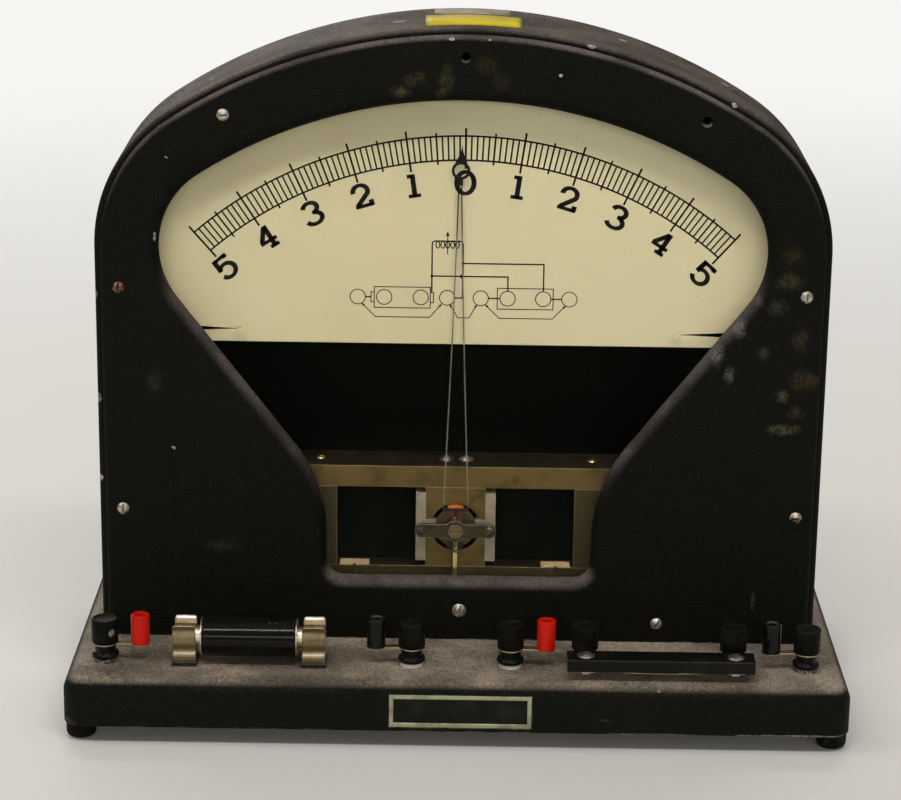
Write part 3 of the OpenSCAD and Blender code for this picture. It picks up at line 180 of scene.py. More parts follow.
# Wrinkle paint: packed little pebbles with shallow valleys between
def wrinkleGroup():
    tree, into, out = makeGroup("wrinkle", {"Scale": 900.0}, ("Height", "Valley"))
    cells = addNode(tree, "TexVoronoi", settings={"feature": "SMOOTH_F1"}, Vector=objectPlace(tree),
                    Scale=into["Scale"], Smoothness=0.6, Randomness=1.0)
    crease = objectNoise(tree, into["Scale"], detail=4.0, roughness=0.6)
    pebble = maths(tree, "SUBTRACT", 1.0, cells.outputs["Distance"])
    feed(tree, out["Height"], maths(tree, "MULTIPLY_ADD", crease, 0.8, pebble))
    feed(tree, out["Valley"], spread(tree, crease, 0.62, 0.4))
    return tree


# Dust that settles on what faces up, in drifts
def dustGroup():
    values = {"Amount": 0.5, "Scale": 30.0, "Low": 0.25, "High": 0.95, "Grain": 1500.0}
    tree, into, out = makeGroup("dust", values, ("Mask",))
    up = addNode(tree, "SeparateXYZ", faceNormal(tree)).outputs["Z"]
    level = spread(tree, up, into["Low"], into["High"])
    drift = spread(tree, objectNoise(tree, into["Scale"], 6.0, 0.62, shift=3.1), 0.3, 0.7)
    grain = spread(tree, objectNoise(tree, into["Grain"], 4.0, 0.7), 0.36, 0.64)
    thick = times(tree, between(tree, drift, 0.45, 1.0), between(tree, grain, 0.52, 1.0))
    cover = times(tree, level, thick)
    feed(tree, out["Mask"], maths(tree, "MULTIPLY", cover, into["Amount"], clamp=True))
    return tree


# Paint rubbed and chipped along edges; with Whole raised, the same edge mask carries painted edge highlights
# on metal and painted rim highlights on moulded pieces
def edgeGroup():
    values = {"Radius": 0.001, "Amount": 0.5, "Scale": 60.0, "Whole": 0.0}
    tree, into, out = makeGroup("edgeWearAndHighlight", values, ("Mask",))
    bevel = addNode(tree, "Bevel", settings={"samples": 4}, Radius=into["Radius"])
    facing = vectorMaths(tree, "DOT_PRODUCT", bevel.outputs[0], faceNormal(tree))["Value"]
    corner = spread(tree, facing, 0.99, 0.9)
    broken = spread(tree, objectNoise(tree, into["Scale"], 8.0, 0.7, shift=1.3), 0.5, 0.64)
    worn = times(tree, corner, maths(tree, "MAXIMUM", broken, into["Whole"]))
    feed(tree, out["Mask"], maths(tree, "MULTIPLY", worn, into["Amount"], clamp=True))
    return tree


# Sparse pale flecks
def fleckGroup():
    tree, into, out = makeGroup("flecks", {"Scale": 90.0, "Share": 0.1, "Size": 0.12}, ("Mask",))
    place = objectPlace(tree)
    ragged = noiseAt(tree, place, Scale=700.0, Detail=3.0)["Color"]
    shake = vectorMaths(tree, "MULTIPLY_ADD", ragged, (0.0022, 0.0022, 0.0022), place)[0]
    cells = addNode(tree, "TexVoronoi", Vector=shake, Scale=into["Scale"]).outputs
    pick = addNode(tree, "SeparateColor", cells["Color"]).outputs
    chosen = maths(tree, "LESS_THAN", pick[0], into["Share"])
    dot = maths(tree, "LESS_THAN", cells["Distance"], times(tree, into["Size"], pick[1]))
    feed(tree, out["Mask"], times(tree, chosen, dot))
    return tree


# Soft blotches: tarnish, finger marks, yellowing
def blotchGroup():
    values = {"Scale": 20.0, "Low": 0.4, "High": 0.7, "Shift": 0.0}
    tree, into, out = makeGroup("blotches", values, ("Mask",))
    place = vectorMaths(tree, "ADD", objectPlace(tree), into["Shift"])[0]
    cloud = noiseAt(tree, place, Scale=into["Scale"], Detail=7.0, Roughness=0.6)["Fac"]
    feed(tree, out["Mask"], spread(tree, cloud, into["Low"], into["High"]))
    return tree


# Painted shade in slots and corners, darker where ambient occlusion finds nearby surfaces
def recessShadeGroup():
    tree, into, out = makeGroup("recessShade", {"Reach": 0.001, "Amount": 0.8}, ("Mask",))
    shade = addNode(tree, "AmbientOcclusion", settings={"samples": 6, "only_local": True},
                    Distance=into["Reach"])
    deep = spread(tree, shade.outputs["AO"], 0.82, 0.45)
    feed(tree, out["Mask"], times(tree, deep, into["Amount"]))
    return tree


# One rubbed, spilt or chipped mark, placed in metres; the same mark also paints patches of shade and sheen
def smudgeAndShadeGroup():
    values = {"X": 0.0, "Y": 0.0, "Z": 0.2, "Wide": 0.005, "Deep": 1.0, "High": 0.005, "Soft": 1.0}
    tree, into, out = makeGroup("smudgeAndShade", values, ("Mask",))
    place = placeParts(tree)
    total = 0.0
    for axis, size in (("X", "Wide"), ("Y", "Deep"), ("Z", "High")):
        offset = maths(tree, "DIVIDE", maths(tree, "SUBTRACT", place[axis], into[axis]), into[size])
        total = maths(tree, "MULTIPLY_ADD", offset, offset, total)
    ragged = objectNoise(tree, 230.0, 6.0, 0.65, shift=0.4)
    away = maths(tree, "MULTIPLY_ADD", ragged, 1.3, maths(tree, "SQRT", total))
    inner = maths(tree, "MULTIPLY_ADD", into["Soft"], -0.9, 1.5)
    patchy = spread(tree, objectNoise(tree, 700.0, 3.0, 0.6, shift=2.2), 0.3, 0.65, 0.12, 1.0)
    feed(tree, out["Mask"], times(tree, spread(tree, away, 1.65, inner), patchy))
    return tree


# Fine lines left by turning, rolling or brushing
def lineGroup():
    tree, into, out = makeGroup("fineLines", {"Along": 40.0, "Across": 3000.0}, ("Lines",))
    size = addNode(tree, "CombineXYZ", into["Along"], into["Across"], into["Across"])
    stretch = vectorMaths(tree, "MULTIPLY", objectPlace(tree), size.outputs[0])[0]
    cloud = noiseAt(tree, stretch, Scale=1.0, Detail=3.0)["Fac"]
    feed(tree, out["Lines"], spread(tree, cloud, 0.3, 0.7))
    return tree


groups = {
    "wrinkle": wrinkleGroup(),
    "dust": dustGroup(),
    "edgeWearAndHighlight": edgeGroup(),
    "flecks": fleckGroup(),
    "blotches": blotchGroup(),
    "recessShade": recessShadeGroup(),
    "smudgeAndShade": smudgeAndShadeGroup(),
    "fineLines": lineGroup(),
}
print("shader groups:", ", ".join(groups))


# The mask of a shared group, with its own values
def groupMask(tree, name, **values):
    return addNode(tree, "Group", settings={"node_tree": groups[name]}, **values).outputs[0]


def blotches(tree, scale, low, high, shift):
    return groupMask(tree, "blotches", Scale=scale, Low=low, High=high, Shift=shift)


def flecks(tree, scale, share, size, amount):
    return times(tree, groupMask(tree, "flecks", Scale=scale, Share=share, Size=size), amount)


def startMaterial(name):
    material = bpy.data.materials.new(name)
    material.use_nodes = True
    tree = material.node_tree
    return material, tree, tree.nodes["Principled BSDF"]


def bumpInto(tree, shader, height, distance, soft=0.0):
    bump = addNode(tree, "Bump", Distance=distance, Strength=1.0, Height=height)
    if soft:
        rounded = addNode(tree, "Bevel", settings={"samples": 6}, Radius=soft)
        setInputs(tree, bump, Normal=rounded.outputs[0])
    setInputs(tree, shader, Normal=bump.outputs[0])


# One worn or spilt place, or a patch of painted shade or sheen: middle and reach in mm, softness, strength
# and tone
def mark(at, size, soft, amount, colour):
    return {"at": at, "size": size, "soft": soft, "amount": amount, "colour": colour}


def addMarks(tree, colour, marks):
    for one in marks:
        x, y, z = (v * mm for v in one["at"])
        wide, deep, high = (v * mm for v in one["size"])
        mask = groupMask(tree, "smudgeAndShade", X=x, Y=y, Z=z, Wide=wide, Deep=deep, High=high, Soft=one["soft"])
        colour = mixColour(tree, times(tree, mask, one["amount"]), colour, one["colour"])
    return colour


# Black wrinkle paint, with its own dust, chips and rubbed patches
paintBase = {
    "grain": 1100.0,
    "valley": (0.003, 0.003, 0.0022),
    "relief": 0.0005,
    "rubRange": (0.5, 0.75, 2.0),  # low, high, shift
    "fleck": 0.75,
    "chipScale": 75.0,
    "valleyRough": 0.18,
    "dustRough": 0.95,
    "marks": (),
}


def wrinklePaint(name, own):
    look = {**paintBase, **own}
    material, tree, shader = startMaterial(name)
    wrinkle = addNode(tree, "Group", settings={"node_tree": groups["wrinkle"]}, Scale=look["grain"]).outputs
    colour = mixColour(tree, wrinkle["Valley"], look["crest"], look["valley"])
    rub = times(tree, blotches(tree, look["rubScale"], *look["rubRange"]), look["rub"])
    colour = mixColour(tree, rub, colour, look["rubColour"])
    dust = groupMask(tree, "dust", Amount=look["dust"], Scale=look["dustScale"], Low=look["dustLow"],
                     High=look["dustHigh"], Grain=look["dustGrain"])
    colour = mixColour(tree, dust, colour, look["dustColour"])
    fleck = flecks(tree, look["fleckScale"], look["fleckShare"], look["fleckSize"], look["fleck"])
    colour = mixColour(tree, fleck, colour, look["chipColour"])
    chip = groupMask(tree, "edgeWearAndHighlight", Radius=look["chipRadius"], Amount=look["chip"],
                     Scale=look["chipScale"])
    colour = mixColour(tree, chip, colour, look["chipColour"])
    rough = maths(tree, "MULTIPLY_ADD", wrinkle["Valley"], look["valleyRough"], look["roughness"])
    rough = maths(tree, "MAXIMUM", rough, times(tree, dust, look["dustRough"]))
    setInputs(tree, shader, Base_Color=addMarks(tree, colour, look["marks"]), Roughness=rough,
              Specular_IOR_Level=look["shine"])
    bumpInto(tree, shader, wrinkle["Height"], look["relief"])
    return material


# Bright or dull metal, with tarnish and fine lines, painted shade in slots and corners, and optional painted
# light on faces that look up and painted highlights along edges; soft and slot are in m
metalBase = {
    "stain": 0.6,
    "stainRange": (0.42, 0.72),
    "across": 2600.0,
    "line": 0.18,
    "metallic": 1.0,
    "relief": 0.00004,
    "soft": 0.0004,
    "slot": 0.0006,
    "paintedTopRange": (0.4, 0.9),
    "edgeScale": 200.0,
    "edgeWhole": 0.55,
    "recessShade": 0.95,
    "recessShadeColour": (0.01, 0.008, 0.006),
    "stainRough": 0.35,
    "lineRough": 0.1,
    "marks": (),
}


def metal(name, own):
    look = {**metalBase, **own}
    material, tree, shader = startMaterial(name)
    stain = blotches(tree, look["stainScale"], *look["stainRange"], look["shift"])
    stain = times(tree, stain, look["stain"])
    lines = groupMask(tree, "fineLines", Along=look["along"], Across=look["across"])
    colour = mixColour(tree, stain, look["colour"], look["stainColour"])
    colour = mixColour(tree, times(tree, lines, look["line"]), colour, look["lineColour"])
    # painted light and shade on faces that look up: painted shade on the yoke bars, a painted highlight on
    # the clip lips
    if "paintedTopLight" in look:
        up = addNode(tree, "SeparateXYZ", faceNormal(tree)).outputs["Z"]
        colour = mixColour(tree, spread(tree, up, *look["paintedTopRange"]), colour, look["paintedTopLight"])
    # painted highlight along edges
    if "edgeHighlightColour" in look:
        edge = groupMask(tree, "edgeWearAndHighlight", Radius=look["edgeRadius"], Amount=look["edge"],
                         Scale=look["edgeScale"], Whole=look["edgeWhole"])
        colour = mixColour(tree, edge, colour, look["edgeHighlightColour"])
    colour = addMarks(tree, colour, look["marks"])
    # painted shade in slots and corners
    recessShade = groupMask(tree, "recessShade", Reach=look["slot"], Amount=look["recessShade"])
    rough = maths(tree, "MULTIPLY_ADD", stain, look["stainRough"], look["roughness"])
    rough = maths(tree, "MULTIPLY_ADD", lines, look["lineRough"], rough)
    setInputs(tree, shader, Base_Color=mixColour(tree, recessShade, colour, look["recessShadeColour"]), Roughness=rough,
              Metallic=look["metallic"])
    bumpInto(tree, shader, lines, look["relief"], look["soft"])
    return material


# Moulded plastic, rubber or fibre, with an optional painted highlight round the rims; soft is in m
mouldedBase = {
    "markRange": (0.45, 0.75),
    "wear": 0.4,
    "wearRadius": 0.0005,
    "wearScale": 220.0,
    "rimRadius": 0.0006,
    "rimWhole": 0.7,
    "dust": 0.02,
    "dustScale": 150.0,
    "dustColour": (0.3, 0.27, 0.23),
    "coat": 0.0,
    "coatRoughness": 0.12,
    "markRough": 0.2,
    "dustRough": 0.9,
    "grain": 1800.0,
    "relief": 0.0001,
    "soft": 0.0004,
    "marks": (),
}


def moulded(name, own):
    look = {**mouldedBase, **own}
    material, tree, shader = startMaterial(name)
    stain = blotches(tree, look["markScale"], *look["markRange"], look["shift"])
    colour = mixColour(tree, times(tree, stain, look["mark"]), look["colour"], look["markColour"])
    wear = groupMask(tree, "edgeWearAndHighlight", Radius=look["wearRadius"], Amount=look["wear"],
                     Scale=look["wearScale"])
    colour = mixColour(tree, wear, colour, look["markColour"])
    # painted highlight round the rims
    if "rimHighlightColour" in look:
        rim = groupMask(tree, "edgeWearAndHighlight", Radius=look["rimRadius"], Amount=look["rim"],
                        Scale=look["wearScale"], Whole=look["rimWhole"])
        colour = mixColour(tree, rim, colour, look["rimHighlightColour"])
    colour = addMarks(tree, colour, look["marks"])
    dust = groupMask(tree, "dust", Amount=look["dust"], Scale=look["dustScale"])
    rough = maths(tree, "MULTIPLY_ADD", stain, look["markRough"], look["roughness"])
    rough = maths(tree, "MAXIMUM", rough, times(tree, dust, look["dustRough"]))
    setInputs(tree, shader, Base_Color=mixColour(tree, dust, colour, look["dustColour"]), Roughness=rough,
              Specular_IOR_Level=look["shine"], Coat_Weight=look["coat"],
              Coat_Roughness=look["coatRoughness"])
    bumpInto(tree, shader, objectNoise(tree, look["grain"]), look["relief"], look["soft"])
    return material

# Finishes of the painted castings
basePaint = wrinklePaint("baseWrinkle", {
    "crest": (0.0062, 0.0064, 0.0042), "roughness": 0.5, "shine": 0.09, "rub": 0.3, "rubScale": 22.0,
    "rubColour": (0.014, 0.012, 0.009), "fleckScale": 60.0, "fleckShare": 0.32, "fleckSize": 0.13,
    "chip": 0.75, "chipRadius": 0.0008, "chipColour": (0.33, 0.28, 0.22), "dust": 0.95, "dustLow": 0.6,
    "dustHigh": 1.0, "dustScale": 24.0, "dustGrain": 800.0, "dustColour": (0.48, 0.392, 0.305),
    "marks": (
        mark((168.0, -95, 10.4), (34, 9, 0.8), 0.2, 0.8, (0.28, 0.25, 0.19)),
        mark((98.0, -95, 10.3), (26, 9, 0.6), 0.2, 0.6, (0.2, 0.18, 0.14)),
        mark((-192, -90, 11.5), (5, 9, 3.0), 0.5, 0.6, (0.13, 0.09, 0.05)),
        mark((73.0, -96, 17.5), (5, 9, 0.9), 0.6, 0.5, (0.1, 0.045, 0.025)),
        mark((20.0, -82, 34.4), (60, 9, 9.0), 1.0, 0.3, (0.42, 0.34, 0.27)),
        mark((-75.0, -80, 34.4), (50, 7, 9.0), 1.0, 0.25, (0.42, 0.34, 0.27)),
        mark((-140, -74, 34.4), (14, 8, 9.0), 1.0, 0.4, (0.42, 0.34, 0.27)),
        mark((-180, -82, 34.4), (36, 22, 5), 0.8, 0.8, (0.05, 0.042, 0.034)),
        mark((-95, -93, 34.4), (95, 10, 5), 0.8, 0.75, (0.04, 0.034, 0.028)),
        mark((120, -94, 34.4), (80, 8, 5), 0.8, 0.6, (0.05, 0.042, 0.034)),
    ),
})
caseLook = {
    "crest": (0.0062, 0.0065, 0.004), "roughness": 0.52, "shine": 0.08, "rub": 0.16, "rubScale": 14.0,
    "rubColour": (0.016, 0.0145, 0.011), "fleckScale": 62.0, "fleckShare": 0.4, "fleckSize": 0.12,
    "chip": 0.85, "chipRadius": 0.0012, "chipColour": (0.36, 0.32, 0.27), "dust": 0.42, "dustLow": 0.2,
    "dustHigh": 0.9, "dustScale": 30.0, "dustGrain": 1300.0, "dustColour": (0.31, 0.255, 0.2),
}
chipTone = (0.56, 0.53, 0.47)
shellMarks = (
    mark((-32.8, -1.0, 348.2), (4.0, 1.6, 3), 0.3, 1.0, chipTone),
    mark((61.0, -29.0, 342.6), (3.4, 0.8, 2), 0.3, 0.9, chipTone),
    mark((77.8, 10.0, 338.6), (3.0, 3.0, 3), 0.3, 0.9, chipTone),
    mark((130.2, 15.0, 316.3), (2.6, 2.6, 3), 0.3, 0.8, chipTone),
    mark((131.3, -29.0, 314.2), (1.8, 1.0, 2), 0.3, 1.0, chipTone),
    mark((-183.0, -28, 214.0), (3, 1.0, 2.4), 0.3, 0.7, chipTone),
    mark((-183.0, -28, 160.0), (3, 2.0, 3.0), 0.3, 0.8, chipTone),
    mark((-183.0, -28, 118.0), (3, 2.0, 2.5), 0.3, 0.8, chipTone),
)
casePaint = wrinklePaint("caseWrinkle", {**caseLook, "marks": shellMarks})

# Rubbed, spilt and scratched marks on the bezel, and grey marks on the lower window lip that are part dust,
# part painted sheen
paleGrey = (0.115, 0.112, 0.102)
oliveTone = (0.07, 0.062, 0.026)
brownTone = (0.05, 0.037, 0.019)
strawTone = (0.12, 0.108, 0.062)
lipDustAndSheen = (0.2, 0.2, 0.205)


def faceMark(x, z, wide, high, amount, colour, soft=0.9):
    return mark((x, -33.5, z), (wide, 9, high), soft, amount, colour)


bezelMarks = (
    faceMark(133.9, 178.6, 3.2, 6.2, 0.8, paleGrey),
    faceMark(160.6, 167.7, 5.0, 4.5, 0.55, strawTone),
    faceMark(168.0, 159.0, 6.0, 4.5, 0.45, oliveTone),
    faceMark(162.5, 150.0, 11.0, 4.0, 0.7, strawTone),
    faceMark(168.5, 197.0, 6.0, 9.0, 0.7, brownTone),
    faceMark(150.7, 190.0, 4.0, 5.5, 0.3, paleGrey),
    faceMark(156.5, 213.0, 6.5, 6.0, 0.3, paleGrey),
    faceMark(172.0, 176.0, 11.0, 8.0, 0.8, brownTone),
    faceMark(162.0, 227.0, 9.0, 7.0, 0.6, oliveTone),
    faceMark(163.0, 240.0, 7.0, 6.0, 0.4, oliveTone),
    faceMark(137.5, 203.0, 5.0, 7.0, 0.6, lipDustAndSheen, 0.7),
    faceMark(127.0, 189.0, 5.0, 8.0, 0.6, lipDustAndSheen, 0.7),
    faceMark(147.0, 217.0, 3.0, 4.5, 0.35, lipDustAndSheen, 0.7),
    faceMark(-31.4, 318.8, 6.0, 4.0, 1.0, oliveTone),
    faceMark(-25.0, 325.5, 8.0, 5.0, 0.55, oliveTone),
    faceMark(-9.5, 325.0, 5.0, 10.0, 0.55, oliveTone),
    faceMark(-12.0, 318.5, 4.0, 3.5, 0.7, oliveTone),
    faceMark(10.0, 333.0, 7.0, 7.0, 0.3, oliveTone),
    faceMark(17.0, 325.0, 6.0, 7.0, 0.3, oliveTone),
    faceMark(-152.5, 244.6, 0.8, 2.8, 1.0, chipTone, 0.3),
    faceMark(46.1, 328.2, 1.0, 0.9, 1.0, chipTone, 0.3),
    faceMark(-161.5, 292.0, 2.0, 0.9, 1.0, chipTone, 0.3),
    faceMark(-150.5, 300.5, 1.6, 1.0, 1.0, chipTone, 0.3),
    faceMark(-94.5, 331.0, 2.4, 0.8, 1.0, chipTone, 0.3),
    faceMark(-7.0, 345.2, 1.8, 0.8, 1.0, chipTone, 0.3),
    faceMark(11.4, 345.0, 0.9, 0.7, 1.0, chipTone, 0.3),
    faceMark(81.2, 336.0, 2.0, 1.0, 1.0, chipTone, 0.3),
    faceMark(151.0, 58.0, 1.5, 6.0, 0.35, paleGrey, 0.6),
    faceMark(-154.0, 170.0, 5.0, 9.0, 0.2, paleGrey),
    faceMark(-121.0, 84.0, 12.0, 5.0, 0.15, paleGrey),
)
bezelPaint = wrinklePaint("bezelWrinkle", {
    **caseLook, "fleckShare": 0.12, "fleckSize": 0.07, "dust": 0.8, "dustLow": 0.1, "dustHigh": 0.7,
    "dustColour": (0.2, 0.165, 0.148), "marks": bezelMarks,
})

# Finishes of plated, turned and rolled metal
nickel = metal("dullNickel", {
    "colour": (0.62, 0.57, 0.48), "stainColour": (0.3, 0.24, 0.17), "lineColour": (0.3, 0.28, 0.25),
    "stain": 0.55, "stainScale": 190.0, "shift": 0.4, "along": 150.0, "roughness": 0.24,
    "relief": 0.00003, "soft": 0.0003, "slot": 0.0012,
    "marks": (
        mark((-170.8, -40.0, 219.0), (11, 60, 11), 0.0, 1.0, (0.13, 0.055, 0.026)),
        mark((170.8, -40.0, 99.6), (11, 60, 4.5), 0.1, 1.0, (0.12, 0.06, 0.03)),
    ) * 3,
})
# painted highlight on the up-facing lips and along the edges
clipNickel = metal("clipNickel", {
    "colour": (0.37, 0.295, 0.165), "stainColour": (0.2, 0.148, 0.078), "lineColour": (0.32, 0.27, 0.18),
    "stainScale": 120.0, "shift": 1.7, "along": 90.0, "across": 1800.0, "roughness": 0.28,
    "relief": 0.00003, "paintedTopLight": (0.95, 0.9, 0.88), "edge": 0.8, "edgeRadius": 0.0005,
    "edgeHighlightColour": (0.85, 0.8, 0.7), "soft": 0.0012,
})
ferruleNickel = metal("ferruleNickel", {
    "colour": (0.86, 0.74, 0.58), "stainColour": (0.45, 0.34, 0.22), "lineColour": (0.5, 0.42, 0.32),
    "stain": 0.5, "stainScale": 140.0, "shift": 2.1, "along": 2200.0, "across": 60.0, "roughness": 0.28,
    "relief": 0.00002, "soft": 0.0008,
})
plainSteel = metal("plainSteel", {
    "colour": (0.5, 0.49, 0.47), "stainColour": (0.22, 0.17, 0.12), "lineColour": (0.25, 0.24, 0.23),
    "stain": 0.5, "stainScale": 150.0, "shift": 2.6, "along": 120.0, "across": 2400.0, "roughness": 0.34,
    "relief": 0.00003, "slot": 0.0012,
})
brightBrass = metal("brightBrass", {
    "colour": (0.76, 0.58, 0.29), "stainColour": (0.33, 0.2, 0.08), "lineColour": (0.45, 0.32, 0.14),
    "stain": 0.5, "stainScale": 210.0, "shift": 3.3, "along": 200.0, "roughness": 0.27, "relief": 0.00003,
    "soft": 0.0003, "slot": 0.0012,
    # painted shadow on the zero lever's upper part, under the bridge
    "marks": (mark((-1.9, -40.0, 92.0), (14, 90, 16), 0.0, 1.0, (0.045, 0.037, 0.018)),) * 2,
})
# painted highlight along the edges
jewelBrass = metal("jewelBrass", {
    "colour": (0.15, 0.11, 0.055), "stainColour": (0.07, 0.05, 0.024), "lineColour": (0.1, 0.072, 0.036),
    "stainScale": 300.0, "shift": 3.9, "along": 300.0, "roughness": 0.3, "metallic": 0.85,
    "relief": 0.00003, "edge": 0.5, "edgeRadius": 0.0005, "edgeHighlightColour": (0.8, 0.68, 0.45), "soft": 0.0003,
    "slot": 0.0012,
})
washerNickel = metal("washerNickel", {
    "colour": (0.85, 0.82, 0.74), "stainColour": (0.32, 0.28, 0.22), "lineColour": (0.45, 0.42, 0.36),
    "stain": 0.2, "stainScale": 400.0, "shift": 1.1, "along": 700.0, "across": 900.0, "roughness": 0.4,
    "metallic": 0.35, "soft": 0.0003, "slot": 0.0004,
    "marks": (
        mark((-173.0, -67.0, 35.5), (13, 22, 8), 0.0, 1.0, (0.05, 0.042, 0.034)),
        mark((173.0, -67.0, 35.5), (13, 22, 8), 0.0, 1.0, (0.05, 0.042, 0.034)),
    ) * 2,
})
stripBrass = metal("springStrip", {
    "colour": (0.62, 0.5, 0.31), "stainColour": (0.27, 0.19, 0.1), "lineColour": (0.36, 0.28, 0.17),
    "stain": 0.65, "stainScale": 160.0, "shift": 4.1, "along": 60.0, "across": 1900.0, "roughness": 0.36,
})
# Yoke finish with painted shade on faces that look up and painted highlights along edges
oliveYoke = metal("oliveYoke", {
    "colour": (0.12, 0.079, 0.02), "stainColour": (0.05, 0.034, 0.011),
    "lineColour": (0.15, 0.105, 0.036), "stain": 0.75, "stainScale": 60.0, "shift": 5.2, "along": 14.0,
    "across": 900.0, "roughness": 0.44, "metallic": 0.7, "paintedTopLight": (0.028, 0.02, 0.01), "edge": 0.8,
    "edgeRadius": 0.0006, "edgeHighlightColour": (0.5, 0.43, 0.28),
})
# Painted shade: a shaded copy of the yoke finish for the bottom bar and uprights, with painted shade on
# faces that look up and painted highlights along edges
shadedYoke = metal("shadedYoke", {
    "colour": (0.043, 0.032, 0.0085), "stainColour": (0.03, 0.022, 0.009),
    "lineColour": (0.07, 0.05, 0.02), "stain": 0.7, "stainScale": 60.0, "shift": 5.9, "along": 14.0,
    "across": 900.0, "roughness": 0.46, "metallic": 0.6, "paintedTopLight": (0.02, 0.015, 0.008), "edge": 0.8,
    "edgeRadius": 0.0006, "edgeHighlightColour": (0.5, 0.4, 0.2),
})
# painted highlight along the edges
greyStrip = metal("greyStrip", {
    "colour": (0.25, 0.21, 0.145), "stainColour": (0.12, 0.1, 0.07), "lineColour": (0.17, 0.145, 0.1),
    "stainScale": 110.0, "shift": 6.4, "along": 60.0, "across": 1400.0, "roughness": 0.5,
    "metallic": 0.35, "edge": 0.6, "edgeRadius": 0.0004, "edgeHighlightColour": (0.7, 0.66, 0.55),
})
# painted highlight along the edges
bridgeMetal = metal("bridgeBronze", {
    "colour": (0.062, 0.052, 0.026), "stainColour": (0.034, 0.028, 0.014),
    "lineColour": (0.045, 0.038, 0.02), "stainScale": 140.0, "shift": 7.5, "along": 70.0,
    "across": 1500.0, "roughness": 0.42, "metallic": 0.95, "edge": 1.0, "edgeRadius": 0.00035,
    "edgeHighlightColour": (0.85, 0.78, 0.6), "slot": 0.0012,
})
magnetBlack = moulded("magnetBlack", {
    "colour": (0.003, 0.0031, 0.0024), "markColour": (0.009, 0.0088, 0.006), "mark": 0.4,
    "markScale": 60.0, "shift": 8.3, "wear": 0.0, "dust": 0.05, "roughness": 0.5, "shine": 0.03,
    "relief": 0.00002,
})
coreBronze = metal("coreBronze", {
    "colour": (0.12, 0.088, 0.047), "stainColour": (0.045, 0.032, 0.018),
    "lineColour": (0.08, 0.058, 0.033), "stain": 0.65, "stainScale": 170.0, "shift": 9.2, "along": 300.0,
    "across": 2200.0, "roughness": 0.32, "metallic": 0.85, "relief": 0.00005, "soft": 0.0012,
})
plateMetal = metal("plateBorder", {
    "colour": (0.4, 0.41, 0.255), "stainColour": (0.17, 0.18, 0.115), "lineColour": (0.27, 0.28, 0.18),
    "stain": 0.75, "stainScale": 130.0, "shift": 10.4, "along": 40.0, "across": 1500.0, "roughness": 0.44,
    "metallic": 0.45,
})

# Finishes of moulded and fibre pieces
phenolic = moulded("blackPhenolic", {
    "colour": (0.0042, 0.0043, 0.0032), "markColour": (0.09, 0.085, 0.078), "mark": 0.12,
    "markScale": 90.0, "shift": 1.2, "wear": 0.55, "roughness": 0.42, "shine": 0.05, "relief": 0.00006,
    "soft": 0.0009, "rim": 0.2, "rimHighlightColour": (0.035, 0.034, 0.03),
    "marks": (mark((-173.0, -74.0, 50.6), (1.5, 9, 2.3), 0.6, 0.9, (0.32, 0.31, 0.29)),),
})
# Jack sleeves, with a painted highlight round the top rim
sleeveBlack = moulded("sleeveBlack", {
    "colour": (0.0035, 0.0036, 0.0028), "markColour": (0.07, 0.066, 0.06), "mark": 0.1, "markScale": 90.0,
    "shift": 4.9, "rim": 1.0, "rimHighlightColour": (0.3, 0.28, 0.25), "roughness": 0.12, "coat": 0.05,
    "shine": 0.16, "relief": 0.00002, "soft": 0.0007,
})
glossBlack = moulded("glossBlack", {
    "colour": (0.003, 0.0031, 0.0024), "markColour": (0.07, 0.066, 0.06), "mark": 0.08, "markScale": 60.0,
    "shift": 2.9, "wear": 0.5, "roughness": 0.04, "coat": 0.05, "shine": 0.14, "relief": 0.00003,
    "soft": 0.0009,
})
glossRed = moulded("glossRed", {
    "colour": (0.56, 0.0105, 0.0025), "markColour": (0.25, 0.008, 0.004), "mark": 0.25,
    "markScale": 120.0, "shift": 3.7, "wear": 0.25, "dust": 0.0, "roughness": 0.2, "coat": 0.02,
    "shine": 0.14, "relief": 0.00003, "soft": 0.0009,
})
footRubber = moulded("footRubber", {
    "colour": (0.0062, 0.0066, 0.0042), "markColour": (0.11, 0.09, 0.07), "mark": 0.25,
    "markScale": 120.0, "shift": 5.5, "dust": 0.1, "roughness": 0.75, "shine": 0.06, "relief": 0.0002,
    "soft": 0.001,
})
darkFibre = moulded("darkFibre", {
    "colour": (0.02, 0.016, 0.013), "markColour": (0.1, 0.075, 0.05), "mark": 0.3, "markScale": 200.0,
    "shift": 6.1, "dust": 0.35, "roughness": 0.6, "shine": 0.15,
})
tanFibre = moulded("tanFibre", {
    "colour": (0.42, 0.29, 0.15), "markColour": (0.2, 0.12, 0.06), "mark": 0.4, "markScale": 260.0,
    "shift": 7.2, "wear": 0.3, "dust": 0.1, "roughness": 0.55, "shine": 0.2,
})
redLead = moulded("leadCover", {
    "colour": (0.05, 0.012, 0.008), "markColour": (0.025, 0.01, 0.007), "mark": 0.4, "markScale": 200.0,
    "shift": 8.8, "wear": 0.0, "dust": 0.1, "roughness": 0.5, "coat": 0.1, "shine": 0.25,
})
insideBlack = moulded("insideBlack", {
    "colour": (0.0042, 0.0045, 0.003), "markColour": (0.009, 0.009, 0.0068), "mark": 0.3,
    "markScale": 25.0, "shift": 10.9, "wear": 0.0, "roughness": 0.8, "shine": 0.02, "relief": 1e-05,
})
coverPaint = moulded("coverPaint", {
    "colour": (0.03, 0.03, 0.029), "markColour": (0.14, 0.12, 0.1), "mark": 0.4, "markScale": 30.0,
    "shift": 9.9, "wear": 0.5, "dust": 0.0, "roughness": 0.55, "shine": 0.15, "relief": 0.0002,
})

